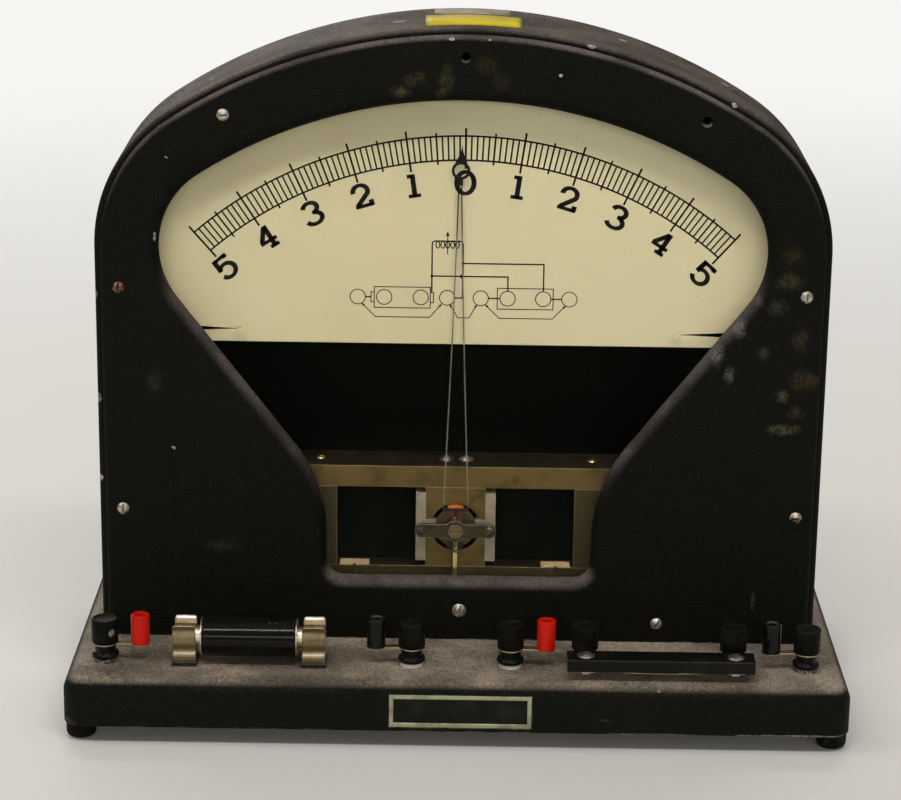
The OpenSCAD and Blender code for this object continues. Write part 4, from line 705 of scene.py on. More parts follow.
# Cream enamel of the dial, a little yellowed in patches
dialLook = {
    "middle": (0.53, 0.463, 0.285), "edge": (0.46, 0.395, 0.225), "speck": (0.27, 0.21, 0.12),
    "age": (7.0, 0.35, 0.75, 1.5),  # scale, low, high, shift
    "flecks": (160.0, 0.04, 0.12, 0.45),  # scale, share, size, amount
    "roughness": (0.42, 0.58), "grain": 500.0, "relief": 0.00002,
}


def dialEnamel(look):
    material, tree, shader = startMaterial("dialEnamel")
    age = blotches(tree, *look["age"])
    colour = mixColour(tree, age, look["middle"], look["edge"])
    colour = mixColour(tree, flecks(tree, *look["flecks"]), colour, look["speck"])
    setInputs(tree, shader, Base_Color=colour, Roughness=between(tree, age, *look["roughness"]))
    bumpInto(tree, shader, objectNoise(tree, look["grain"]), look["relief"])
    return material


# Printing ink, faded in patches
inkLook = {
    "fade": (160.0, 0.45, 0.8, 4.4),
    "fresh": (0.005, 0.0048, 0.004), "faded": (0.02, 0.017, 0.012),
    "roughness": (0.45, 0.6), "shine": 0.08,
}


def printInk(look):
    material, tree, shader = startMaterial("printInk")
    fade = blotches(tree, *look["fade"])
    setInputs(tree, shader, Base_Color=mixColour(tree, fade, look["fresh"], look["faded"]),
              Specular_IOR_Level=look["shine"], Roughness=between(tree, fade, *look["roughness"]))
    return material


# Clear window glass, which lets lamp light through
glassLook = {"tint": (0.97, 0.985, 0.98), "bend": 1.04, "film": (16.0, 0.45, 0.85, 0.9), "filmRough": 0.03}


def windowGlass(look):
    material, tree, shader = startMaterial("windowGlass")
    film = times(tree, blotches(tree, *look["film"]), look["filmRough"])
    setInputs(tree, shader, Base_Color=look["tint"], Transmission_Weight=1.0, IOR=look["bend"],
              Roughness=film)
    clear = addNode(tree, "BsdfTransparent")
    shadow = addNode(tree, "LightPath").outputs["Is Shadow Ray"]
    mixShaders(tree, shadow, shader, clear, "Material Output")
    return material


# Varnished copper winding: fine turns along the coil's side, with a painted highlight on the lit band at the
# top and painted shade lower down; heights in mm above the table
coilLook = {
    "middle": (0.11, 0.02, 0.007), "tone": (0.06, 0.012, 0.005), "top": (0.7, 0.16, 0.02),
    "low": (0.012, 0.006, 0.004), "gap": (0.03, 0.008, 0.004), "gapShare": 0.4,
    "lit": (98.3, 99.4), "dark": (88.0, 81.0),
    "stain": (240.0, 0.35, 0.7, 3.0), "turnScale": 1100.0, "turnSway": 0.6, "turnDetail": 1.0,
    "roughness": (0.28, 0.4), "coat": 0.3, "relief": 0.00008,
}


# How far a height lies between two heights in mm
def heightMask(tree, heights):
    low, high = heights
    return spread(tree, placeParts(tree)["Z"], low * mm, high * mm)


def coilWinding(look):
    material, tree, shader = startMaterial("coilWinding")
    turns = addNode(tree, "TexWave", settings={"bands_direction": "X"}, Vector=objectPlace(tree),
                    Scale=look["turnScale"], Distortion=look["turnSway"], Detail=look["turnDetail"])
    turns = turns.outputs["Fac"]
    tone = blotches(tree, *look["stain"])
    colour = mixColour(tree, tone, look["middle"], look["tone"])
    # painted highlight on the top band, then painted shade lower down
    colour = mixColour(tree, heightMask(tree, look["lit"]), colour, look["top"])
    colour = mixColour(tree, heightMask(tree, look["dark"]), colour, look["low"])
    colour = mixColour(tree, times(tree, turns, look["gapShare"]), colour, look["gap"])
    setInputs(tree, shader, Base_Color=colour, Roughness=between(tree, tone, *look["roughness"]),
              Coat_Weight=look["coat"])
    bumpInto(tree, shader, turns, look["relief"])
    return material


# Pointer: bare drawn wire below, black towards the tip, with painted shadow on the foot under the bridge;
# heights in mm above the table
pointerLook = {
    "black": (238.0, 250.0), "bare": (99.0, 104.0),
    "wear": (240.0, 0.4, 0.75, 6.0), "wire": (0.2, 0.18, 0.13), "wornWire": (0.12, 0.105, 0.075),
    "foot": (0.03, 0.024, 0.012), "tip": (0.008, 0.008, 0.008),
    "roughness": (0.35, 0.55), "metallic": (0.8, 0.0), "shine": 0.1,
}


def pointerPaint(look):
    material, tree, shader = startMaterial("pointerPaint")
    black = heightMask(tree, look["black"])
    bare = mixColour(tree, blotches(tree, *look["wear"]), look["wire"], look["wornWire"])
    # painted shadow: below the bare heights the wire takes the dark foot colour
    bare = mixColour(tree, heightMask(tree, look["bare"]), look["foot"], bare)
    setInputs(tree, shader, Base_Color=mixColour(tree, black, bare, look["tip"]),
              Roughness=between(tree, black, *look["roughness"]),
              Metallic=between(tree, black, *look["metallic"]), Specular_IOR_Level=look["shine"])
    return material


# Old paper label
paperLook = {
    "age": (45.0, 0.4, 0.75, 2.2), "flecks": (300.0, 0.12, 0.25, 0.6),
    "roughness": (0.45, 0.62), "shine": 0.15, "grain": 900.0, "grainDetail": 4.0, "relief": 0.00004,
}


def labelPaper(name, own):
    look = {**paperLook, **own}
    material, tree, shader = startMaterial(name)
    age = blotches(tree, *look["age"])
    tone = mixColour(tree, age, look["colour"], look["dark"])
    tone = mixColour(tree, flecks(tree, *look["flecks"]), tone, look["dark"])
    setInputs(tree, shader, Base_Color=addMarks(tree, tone, look["marks"]),
              Specular_IOR_Level=look["shine"], Roughness=between(tree, age, *look["roughness"]))
    bumpInto(tree, shader, objectNoise(tree, look["grain"], look["grainDetail"]), look["relief"])
    return material


inkMaterial = printInk(inkLook)
finishes = {
    basePaint: ["base"],
    casePaint: ["case_shell"],
    bezelPaint: ["front_bezel"],
    coverPaint: ["base_cover"],
    footRubber: ["rubber_feet"],
    plainSteel: ["foot_screws", "shell_screws", "dial_posts", "dial_screws", "glass_clips", "movement_legs",
                 "pivots"],
    nickel: ["bezel_screws", "pole_screws", "stud_nuts", "clip_screws", "shunt_screws", "zero_screw"],
    windowGlass(glassLook): ["window_glass"],
    dialEnamel(dialLook): ["dial_plate"],
    oliveYoke: ["top_bar", "pole_pieces"],
    shadedYoke: ["bottom_bar", "uprights"],
    brightBrass: ["frame_screws", "zero_lever", "post_studs", "front_hairspring", "rear_hairspring"],
    jewelBrass: ["jewel_screws"],
    washerNickel: ["post_washers"],
    greyStrip: ["side_strips", "core_arms"],
    bridgeMetal: ["front_bridge", "rear_bridge", "bridge_screws"],
    magnetBlack: ["magnets"],
    coreBronze: ["core"],
    coilWinding(coilLook): ["moving_coil"],
    pointerPaint(pointerLook): ["pointer"],
    tanFibre: ["terminal_tags"],
    redLead: ["lead_wires"],
    phenolic: ["knob_%d" % i for i in range(1, 7)],
    glossBlack: ["post_collars", "shunt_bar", "resistor_body"],
    sleeveBlack: ["black_sleeves"],
    glossRed: ["red_sleeves"],
    stripBrass: ["jack_strips", "shunt_tongues", "shunt_strip"],
    clipNickel: ["fuse_clips"],
    ferruleNickel: ["ferrules"],
    darkFibre: ["clip_insulators"],
    plateMetal: ["name_plate"],
}
for material, names in finishes.items():
    for name in names:
        data = nodes[name].data
        data.materials.clear()
        data.materials.append(material)
dressed = {name for names in finishes.values() for name in names}
print("finishes:", len(finishes), "on", len(dressed), "of", len(nodes), "nodes")




# Mesh helpers
def addPiece(name, verts, faces, material, body="root", smoothAngle=35.0):
    mesh = bpy.data.meshes.new(name)
    mesh.from_pydata([Vector(v) * mm for v in verts], [], faces)
    mesh.validate()
    build = bmesh.new()
    build.from_mesh(mesh)
    bmesh.ops.remove_doubles(build, verts=build.verts, dist=1e-7)
    bmesh.ops.recalc_face_normals(build, faces=build.faces)
    for face in build.faces:
        face.smooth = True
    limit = math.radians(smoothAngle)
    for edge in build.edges:
        if len(edge.link_faces) == 2 and edge.calc_face_angle(0.0) > limit:
            edge.smooth = False
    build.to_mesh(mesh)
    build.free()
    mesh.materials.append(material)
    piece = bpy.data.objects.new(name, mesh)
    scene.collection.objects.link(piece)
    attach(piece, body)
    return piece


# Joins closed rings of equal length, in order, into bands of quads
def ringBands(rings):
    verts = [point for ring in rings for point in ring]
    count = len(rings[0])
    faces = []
    for a in range(0, (len(rings) - 1) * count, count):
        b = a + count
        for i in range(count):
            j = (i + 1) % count
            faces.append((a + i, a + j, b + j, b + i))
    return verts, faces


# Adds one mesh's points and faces to another's
def appendMesh(verts, faces, more, bands):
    faces += [tuple(len(verts) + i for i in band) for band in bands]
    verts += more


def nodeBox(node):
    return [Vector(corner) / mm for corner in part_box(node)]


def ovalPoints(centre, rx, ry, start, end, steps):
    turns = [math.radians(start + (end - start) * i / steps) for i in range(steps + 1)]
    return [(centre[0] + rx * math.cos(a), centre[1] + ry * math.sin(a)) for a in turns]


def arcPoints(centre, radius, start, end, steps):
    return ovalPoints(centre, radius, radius, start, end, steps)


# Steps of a quarter round, as shares of its radius both ways
def quarterRound(steps):
    turns = [math.radians(90 * i / steps) for i in range(steps + 1)]
    return [(1 - math.cos(a), 1 - math.sin(a)) for a in turns]


def mirrorHalf(half):
    return half + [(-x, z) for x, z in reversed(half)]


# Case: an arch with round shoulders on upright sides, in mm
caseForm = {
    "width": 366.4,
    "top": 350.2,
    "foot": 34.4,
    "archRadius": 267.0,
    "shoulderRadius": 81.3,
    "front": -29.5,
    "back": 34.5,
    "wall": 4.0,
    "edge": 3.0,
    "edgeSteps": 6,
    "archFrom": 89.6,  # degrees, just short of the middle
    "shoulderGap": 1.5,
    "steps": {"arch": 60, "shoulder": 40, "side": 24, "foot": 12},
    "middleZ": 180,
}


def caseOutline(grow):
    form = caseForm
    archZ = form["top"] - form["archRadius"]
    x = form["width"] / 2 - form["shoulderRadius"]
    rise = math.sqrt((form["archRadius"] - form["shoulderRadius"]) ** 2 - x * x)
    turn = math.degrees(math.atan2(rise, x))
    steps = form["steps"]
    half = arcPoints((0, archZ), form["archRadius"] + grow, form["archFrom"], turn, steps["arch"])
    half += arcPoints((x, archZ + rise), form["shoulderRadius"] + grow, turn - form["shoulderGap"], 0,
                      steps["shoulder"])
    side = form["width"] / 2 + grow
    drop = archZ + rise - form["foot"]
    half += [(side, archZ + rise - drop * i / steps["side"]) for i in range(1, steps["side"] + 1)]
    half += [(side * (1 - i / (steps["foot"] + 0.5)), form["foot"]) for i in range(1, steps["foot"] + 1)]
    return mirrorHalf(half)


def atDepth(outline, y):
    return [(x, y, z) for x, z in outline]


def addCaseShell(form):
    edge = form["edge"]
    corner = quarterRound(form["edgeSteps"])
    rings = [atDepth(caseOutline(-edge * c), form["front"] + edge * s) for c, s in reversed(corner)]
    rings += [atDepth(caseOutline(-edge * c), form["back"] - edge * s) for c, s in corner]
    inside = caseOutline(-form["wall"])
    inside = [(x, max(z, form["foot"] + form["wall"])) for x, z in inside]
    verts, faces = ringBands([atDepth(inside, form["front"])] + rings)
    count = len(inside)
    faces.append([len(verts) - count + i for i in range(count)])
    first = len(verts)
    verts += atDepth(inside, form["back"] - form["wall"])
    faces += [(i, first + i, first + (i + 1) % count, (i + 1) % count) for i in range(count)]
    faces.append([first + i for i in range(count)])
    shell = addPiece("caseShell", verts, faces, casePaint)
    shell.data.materials.append(insideBlack)
    for face in shell.data.polygons:
        middle = face.center / mm
        deep = form["front"] + 0.1 < middle.y < form["back"] - form["wall"] + 0.1
        outward = face.normal.dot(middle - Vector((0, middle.y, form["middleZ"])))
        if deep and outward < 1 and face.normal.y < 0.5:
            face.material_index = 1
    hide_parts("case_shell")


addCaseShell(caseForm)

# Bezel: a plate inside the case's outline, with a lip rolled round the window
bezelForm = {
    "inset": 3.3,
    "front": -33.5,
    "thick": 4.0,
    "edge": 3.0,
    "lipRadius": 6.6,
    "lipDepth": 7.0,
    "lipSeat": 9.0,
    "emptyHoles": ((0.0, 336.5), (118.0, 306.6)),
    "holeRadius": 2.0,
    "sinkRadius": 2.9,
    "sinkDepth": 1.0,
    "sinkMargin": 0.2,
    "rodSides": 32,
    "edgeSteps": 8,
    "smoothAngle": 25.0,
}
windowForm = {
    "top": 314.3,
    "archRadius": 241.0,
    "width": 302.2,
    "shoulderRadius": 43.3,
    "slope": 37.7,
    "waistRadius": 78.8,
    "footWidth": 135.4,
    "bottom": 67.0,
    "footRadius": 9.3,
    "archFrom": 89.6,  # degrees, just short of the middle
    "shoulderGap": 3,
    "steps": {"arch": 52, "shoulder": 30, "waist": 16, "slope": 12, "corner": 10, "foot": 16},
}


def windowOutline(grow):
    form = windowForm
    archZ = form["top"] - form["archRadius"]
    x = form["width"] / 2 - form["shoulderRadius"]
    z = archZ + math.sqrt((form["archRadius"] - form["shoulderRadius"]) ** 2 - x * x)
    turn = math.degrees(math.atan2(z - archZ, x))
    lean = math.radians(form["slope"])
    slopeX = x + form["shoulderRadius"] * math.cos(lean)
    slopeZ = z - form["shoulderRadius"] * math.sin(lean)
    waistX = form["footWidth"] / 2 + form["waistRadius"]
    run = (slopeX - waistX + form["waistRadius"] * math.cos(lean)) / math.sin(lean)
    waistZ = slopeZ - run * math.cos(lean) - form["waistRadius"] * math.sin(lean)
    steps = form["steps"]
    half = arcPoints((0, archZ), form["archRadius"] + grow, form["archFrom"], turn, steps["arch"])
    half += arcPoints((x, z), form["shoulderRadius"] + grow, turn - form["shoulderGap"], -form["slope"],
                      steps["shoulder"])
    waist = arcPoints((waistX, waistZ), form["waistRadius"] - grow, 180 - form["slope"], 180, steps["waist"])
    start, end = half[-1], waist[0]
    for i in range(1, steps["slope"]):
        half.append(tuple(a + (b - a) * i / steps["slope"] for a, b in zip(start, end)))
    half += waist
    corner = (form["footWidth"] / 2 - form["footRadius"], form["bottom"] + form["footRadius"])
    half += arcPoints(corner, form["footRadius"] + grow, 0, -90, steps["corner"])
    last = half[-1]
    half += [(last[0] * (1 - i / (steps["foot"] + 0.5)), last[1]) for i in range(1, steps["foot"] + 1)]
    return mirrorHalf(half)


# Takes the shapes in a work mesh away from a piece
def cutPiece(piece, build):
    mesh = bpy.data.meshes.new("cutter")
    build.to_mesh(mesh)
    build.free()
    cutter = bpy.data.objects.new("cutter", mesh)
    scene.collection.objects.link(cutter)
    cut = piece.modifiers.new("cut", "BOOLEAN")
    cut.object = cutter
    cut.solver = "EXACT"
    bpy.context.view_layer.update()
    done = piece.evaluated_get(bpy.context.evaluated_depsgraph_get())
    done = bpy.data.meshes.new_from_object(done)
    piece.modifiers.clear()
    piece.data = done
    bpy.data.objects.remove(cutter)


# Drills rods of two radii through the bezel at its empty holes
def drillHoles(piece, form, front, back, frontRadius, backRadius):
    build = bmesh.new()
    turn = Matrix.Rotation(math.pi / 2, 4, "X")
    for x, z in form["emptyHoles"]:
        middle = Vector((x, (front + back) / 2, z)) * mm
        bmesh.ops.create_cone(build, cap_ends=True, segments=form["rodSides"], radius1=backRadius * mm,
                              radius2=frontRadius * mm, depth=(back - front) * mm,
                              matrix=Matrix.Translation(middle) @ turn)
    cutPiece(piece, build)


def addBezel(form):
    front, inset, edge, roll = form["front"], form["inset"], form["edge"], form["lipRadius"]
    corner = quarterRound(form["edgeSteps"])
    rings = [atDepth(caseOutline(-inset), front + form["thick"])]
    rings += [atDepth(caseOutline(-inset - edge * c), front + edge * s) for c, s in corner]
    verts, faces = ringBands(rings)
    first = len(verts)
    lip = [atDepth(windowOutline(roll * s), front + roll * c) for c, s in corner]
    for grow, depth in ((0, "lipDepth"), (form["lipSeat"], "lipDepth"), (form["lipSeat"], "thick")):
        lip.append(atDepth(windowOutline(grow), front + form[depth]))
    appendMesh(verts, faces, *ringBands(lip))
    mesh = bmesh.new()
    points = [mesh.verts.new(Vector(v) * mm) for v in verts]
    for face in faces:
        mesh.faces.new([points[i] for i in face])
    caseCount, windowCount = len(rings[0]), len(lip[0])
    for outerFirst, innerFirst in ((first - caseCount, first), (0, len(verts) - windowCount)):
        edges = []
        for start, count in ((outerFirst, caseCount), (innerFirst, windowCount)):
            for i in range(count):
                edges.append(mesh.edges.get((points[start + i], points[start + (i + 1) % count])))
        bmesh.ops.triangle_fill(mesh, edges=edges, use_beauty=True)
    mesh.verts.index_update()
    verts = [tuple(v.co / mm) for v in mesh.verts]
    faces = [tuple(v.index for v in face.verts) for face in mesh.faces]
    mesh.free()
    bezel = addPiece("frontBezel", verts, faces, bezelPaint, smoothAngle=form["smoothAngle"])
    hole, margin = form["holeRadius"], form["sinkMargin"]
    drillHoles(bezel, form, front - 1, front + form["thick"] + 1, hole, hole)
    drillHoles(bezel, form, front - margin, front + form["sinkDepth"], form["sinkRadius"] + margin, hole)
    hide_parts("front_bezel")


addBezel(bezelForm)

# Base: a hollow casting with round corners and a rounded top edge
baseForm = {
    "width": 391.6,
    "depth": 192.0,
    "bottom": 10.0,
    "top": 34.4,
    "corner": 10.0,
    "edge": 7.5,
    "wall": 4.0,
    "coverSeat": 2.1,
    "lowEdge": 0.4,
    "edgeSteps": 8,
    "cornerSteps": 12,
    "plateSeat": {"x": 1.9, "z": 20.8, "width": 71.0, "height": 17.2, "deep": 0.9},
}


def basePlan(inset):
    x = baseForm["width"] / 2 - baseForm["corner"]
    y = baseForm["depth"] / 2 - baseForm["corner"]
    radius = baseForm["corner"] - inset
    points = []
    for sx, sy, start in ((1, 1, 0), (-1, 1, 90), (-1, -1, 180), (1, -1, 270)):
        points += arcPoints((sx * x, sy * y), radius, start, start + 90, baseForm["cornerSteps"])
    return points


def addBase(form):
    def level(inset, z):
        return [(x, y, z) for x, y in basePlan(inset)]
    bottom, wall, edge, lowEdge = form["bottom"], form["wall"], form["edge"], form["lowEdge"]
    rings = [level(wall, bottom + form["coverSeat"]), level(wall, bottom)]
    rings += [level(lowEdge, bottom), level(0.0, bottom + lowEdge)]
    rings += [level(edge * c, form["top"] - edge * s) for c, s in quarterRound(form["edgeSteps"])]
    verts, faces = ringBands(rings)
    count = len(rings[0])
    faces.append(list(range(count)))
    faces.append([len(verts) - count + i for i in range(count)])
    base = addPiece("baseCasting", verts, faces, basePaint)
    seat = form["plateSeat"]
    middle = Vector((seat["x"], -form["depth"] / 2, seat["z"])) * mm
    size = Vector((seat["width"], 2 * seat["deep"], seat["height"])) * mm
    build = bmesh.new()
    place = Matrix.Translation(middle) @ Matrix.Diagonal((*size, 1.0))
    bmesh.ops.create_cube(build, size=1.0, matrix=place)
    cutPiece(base, build)
    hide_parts("base")


addBase(baseForm)
print("case, bezel and base made")


# Flat strokes for print, with mitred joints; level runs are drawn thinner where thin is below one
mitre = {"least": 0.35, "longest": 2.4}


def strokeMesh(points, width, closed=False, thin=1.0):
    left, right = [], []
    count = len(points)
    for i, point in enumerate(points):
        before = points[i - 1] if i or closed else None
        after = points[(i + 1) % count] if i + 1 < count or closed else None
        normals = []
        for a, b in ((before, point), (point, after)):
            if a is not None and b is not None:
                way = (Vector(b) - Vector(a)).normalized()
                normals.append(Vector((-way.y, way.x)))
        if len(normals) == 2:
            side = (normals[0] + normals[1]).normalized()
            side *= min(1.0 / max(side.dot(normals[0]), mitre["least"]), mitre["longest"])
        else:
            side = normals[0]
        side *= width / 2 * (thin + (1 - thin) * min(abs(side.x), 1.0))
        left.append(Vector(point) + side)
        right.append(Vector(point) - side)
    verts = left + right
    spans = range(count if closed else count - 1)
    faces = [(i, (i + 1) % count, count + (i + 1) % count, count + i) for i in spans]
    return [tuple(v) for v in verts], faces


class Sheet:
    def __init__(self, depth):
        self.depth, self.verts, self.faces = depth, [], []

    def add(self, flat, faces):
        appendMesh(self.verts, self.faces, [(x, self.depth, z) for x, z in flat], faces)

    def stroke(self, points, width, closed=False):
        self.add(*strokeMesh(points, width, closed))

    def patch(self, points):
        self.add(points, [tuple(range(len(points)))])

    def finish(self, name):
        piece = addPiece(name, self.verts, self.faces, inkMaterial)


dialFace = -14.9  # mm
scaleForm = {
    "centre": (0.6, 88.9),
    "unitAngle": 8.24,  # degrees
    "units": 5,
    "innerArc": 193.0,
    "outerArc": 205.2,
    "arcWidth": 0.92,
    "smallWidth": 0.85,
    "halfReach": (191.0, 207.0),
    "halfWidth": 0.95,
    "unitReach": (188.6, 209.2),
    "unitWidth": 1.05,
    "arcSteps": 160,
    "lift": 0.06,
}


def onArc(centre, radius, degrees):
    a = math.radians(degrees)
    return (centre[0] + radius * math.sin(a), centre[1] + radius * math.cos(a))


def addScale(form):
    sheet = Sheet(dialFace - form["lift"])
    centre = form["centre"]
    full = form["unitAngle"] * form["units"]
    for radius in (form["innerArc"], form["outerArc"]):
        steps = form["arcSteps"]
        points = [onArc(centre, radius, -full + 2 * full * i / steps) for i in range(steps + 1)]
        sheet.stroke(points, form["arcWidth"])
    for i in range(-10 * form["units"], 10 * form["units"] + 1):
        if i % 10 == 0:
            reach, width = form["unitReach"], form["unitWidth"]
        elif i % 5 == 0:
            reach, width = form["halfReach"], form["halfWidth"]
        else:
            reach, width = (form["innerArc"], form["outerArc"]), form["smallWidth"]
        turn = form["unitAngle"] * i / 10
        sheet.stroke([onArc(centre, radius, turn) for radius in reach], width)
    sheet.finish("scalePrint")


addScale(scaleForm)

# Numerals: even strokes with slab feet, leaning with the scale; the nought is one closed ring
numeralForm = {"radius": 181.6, "width": 2.55, "thin": 0.74, "lift": 0.07}
numeralStrokes = {
    0: [ovalPoints((0, 0), 4.3, 5.5, 0, 360, 40)[:-1]],
    1: [[(0.3, 5.8), (0.3, -5.7)], [(-2.5, 4.85), (0.3, 4.85)], [(-2.8, -5.2), (3.4, -5.2)]],
    2: [ovalPoints((-0.1, 2.3), 3.7, 3.2, 186, -28, 24) + [(-3.4, -4.8)],
        [(-4.4, -5.2), (4.8, -5.2)], [(4.0, -5.9), (4.0, -2.8)]],
    3: [ovalPoints((-0.2, 2.85), 3.6, 2.7, 170, -88, 24), ovalPoints((-0.2, -2.65), 4.1, 2.9, 88, -165, 26)],
    4: [[(1.5, -5.7), (1.5, 5.8)], [(1.1, 5.2), (-3.9, -1.7)], [(-4.8, -2.1), (4.4, -2.1)],
        [(-1.0, -5.3), (4.0, -5.3)]],
    5: [[(3.9, 5.3), (-3.9, 5.3)], [(-2.8, 6.0), (-3.3, -0.6)], [(3.1, 6.0), (3.1, 3.9)],
        ovalPoints((-0.1, -1.9), 4.1, 3.6, 152, -160, 28)],
}


def addNumerals(form):
    sheet = Sheet(dialFace - form["lift"])
    for unit in range(-scaleForm["units"], scaleForm["units"] + 1):
        turn = scaleForm["unitAngle"] * unit
        c, s = math.cos(math.radians(turn)), math.sin(math.radians(turn))
        middle = onArc(scaleForm["centre"], form["radius"], turn)
        for points in numeralStrokes[abs(unit)]:
            flat, faces = strokeMesh(points, form["width"], unit == 0, form["thin"])
            sheet.add([(middle[0] + x * c + z * s, middle[1] - x * s + z * c) for x, z in flat], faces)
    sheet.finish("numeralPrint")


addNumerals(numeralForm)

# Wiring diagram, lines only
diagramForm = {
    "row": 211.3,
    "postRadius": 3.85,
    "posts": (-52.7, -39.4, -21.0, -7.7, 9.2, 22.7, 40.6, 53.8),
    "resistorBox": (-44.4, -16.2),
    "shuntBox": (17.5, 45.6),
    "boxHeights": (205.8, 216.6),
    "capWidth": 1.6,
    "capHeight": 5.2,
    "coilSides": (-15.5, 0.0),
    "coilTop": 240.6,
    "loops": (-12.7, -10.2, -7.8, -5.3, -2.9),
    "upperTie": 229.2,
    "lowerTie": 222.5,
    "hop": 1.3,
    "corner": 1.6,
    "loopRadii": (0.95, 1.75),
    "loopDrop": 1.9,
    "loopLine": 0.8,
    "needle": (-6.8, 3.2, 5.2),
    "dot": 0.75,
    "arrow": 1.9,
    "needleArrow": 2.6,
    "arrowShare": 0.38,
    "tickLow": 201.0,
    "tickDrop": 3.1,
    "ticks": ((-50.9, -43.7, -16.5, -10.3), (-6.5, -2.3, 3.4, 7.4), (11.3, 18.6, 45.3, 52.2)),
    "thin": 0.48,
    "thick": 0.72,
    "lift": 0.06,
}


def addDiagram(form):
    sheet = Sheet(dialFace - form["lift"])
    row, r = form["row"], form["postRadius"]
    thin, thick = form["thin"], form["thick"]
    low, high = form["boxHeights"]

    def boxLine(x0, x1, z0, z1):
        sheet.stroke([(x0, z0), (x1, z0), (x1, z1), (x0, z1)], thin, True)

    def arrowHead(tip, tail, size):
        way = (Vector(tip) - Vector(tail)).normalized()
        side = Vector((-way.y, way.x)) * size * form["arrowShare"]
        foot = Vector(tip) - way * size
        sheet.patch([tuple(tip), tuple(foot + side), tuple(foot - side)])

    for x in form["posts"]:
        sheet.stroke(arcPoints((x, row), r, 0, 360, 32)[:-1], thin, True)
    for x0, x1 in (form["resistorBox"], form["shuntBox"]):
        boxLine(x0, x1, low, high)
    x0, x1 = form["resistorBox"]
    half = form["capHeight"] / 2
    boxLine(x0 - form["capWidth"], x0, row - half, row + half)
    boxLine(x1, x1 + form["capWidth"], row - half, row + half)
    posts = form["posts"]
    sheet.stroke([(posts[0] + r, row), (x0 - form["capWidth"], row)], thick)
    left, right = form["coilSides"]
    top, corner, hop = form["coilTop"], form["corner"], form["hop"]
    upper, lower = form["upperTie"], form["lowerTie"]
    run = [(left, row + half), (left, top - corner)]
    run += arcPoints((left + corner, top - corner), corner, 170, 90, 5)
    run += arcPoints((right - corner, top - corner), corner, 90, 10, 5)
    run += [(right, lower + hop), (right - hop, lower), (right, lower - hop)]
    run += [(right, row), (posts[3] + r, row)]
    sheet.stroke(run, thick)
    for x in form["loops"]:
        loop = ovalPoints((x, top - form["loopDrop"]), *form["loopRadii"], 0, 360, 16)
        sheet.stroke(loop[:-1], thick * form["loopLine"], True)
    middle = form["loops"][2]
    foot, neck, tip = (top + rise for rise in form["needle"])
    sheet.stroke([(middle, foot), (middle, neck)], thin)
    arrowHead((middle, tip), (middle, top), form["needleArrow"])
    for start, post, tie in ((right, 6, upper), (left, 5, lower)):
        sheet.stroke([(start, tie), (posts[post], tie), (posts[post], row + r)], thick)
    for dot in ((right, upper), (left, lower)):
        sheet.patch(arcPoints(dot, form["dot"], 0, 330, 11))
    for a, b in ((4, 5), (6, 7)):
        sheet.stroke([(posts[a] + r, row), (posts[b] - r, row)], thick)
    tipZ = row - form["tickDrop"]
    for xs in form["ticks"]:
        points = [(xs[0], tipZ), (xs[1], form["tickLow"]), (xs[2], form["tickLow"]), (xs[3], tipZ)]
        sheet.stroke(points, thin)
        arrowHead(points[0], points[1], form["arrow"])
        arrowHead(points[3], points[2], form["arrow"])
    sheet.finish("diagramPrint")


addDiagram(diagramForm)
print("dial printed")

# Name plate, left bare: a rolled border round a dark field
plateForm = {
    "left": -33.5,
    "right": 37.3,
    "low": 12.3,
    "high": 29.3,
    "front": -96.0,
    "back": -95.1,
    "border": 2.2,
    "round": 0.35,
    "roundShare": 0.3,
    "field": -95.6,
    "fieldOverlap": 0.1,
}


fieldLook = {
    "rub": (90.0, 0.45, 0.75, 6.6), "flecks": (420.0, 0.2, 0.3, 0.5),
    "colour": (0.009, 0.0105, 0.006), "rubbed": (0.017, 0.019, 0.012), "fleckColour": (0.06, 0.065, 0.05),
    "roughness": (0.5, 0.7), "shine": 0.06, "grain": 2500.0, "relief": 0.00006,
}


def fieldPaint(look):
    material, tree, shader = startMaterial("plateField")
    rub = blotches(tree, *look["rub"])
    tone = mixColour(tree, rub, look["colour"], look["rubbed"])
    tone = mixColour(tree, flecks(tree, *look["flecks"]), tone, look["fleckColour"])
    setInputs(tree, shader, Base_Color=tone, Roughness=between(tree, rub, *look["roughness"]),
              Specular_IOR_Level=look["shine"])
    bumpInto(tree, shader, objectNoise(tree, look["grain"]), look["relief"])
    return material


def addNamePlate(form):
    def frameRing(inset, y):
        x0, x1 = form["left"] + inset, form["right"] - inset
        z0, z1 = form["low"] + inset, form["high"] - inset
        return [(x0, y, z0), (x1, y, z0), (x1, y, z1), (x0, y, z1)]
    front, border, roll = form["front"], form["border"], form["round"]
    part = roll * form["roundShare"]
    rings = [frameRing(0, form["back"]), frameRing(0, front + roll), frameRing(part, front + part),
             frameRing(roll, front), frameRing(border - roll, front), frameRing(border, front + roll),
             frameRing(border, form["field"])]
    verts, faces = ringBands(rings)
    faces.append((0, 1, 2, 3))
    plate = addPiece("namePlate", verts, faces, plateMetal)
    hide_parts("name_plate")
    ring = frameRing(border - form["fieldOverlap"], form["field"])
    field = addPiece("plateField", ring, [(0, 1, 2, 3)], fieldPaint(fieldLook))


addNamePlate(plateForm)

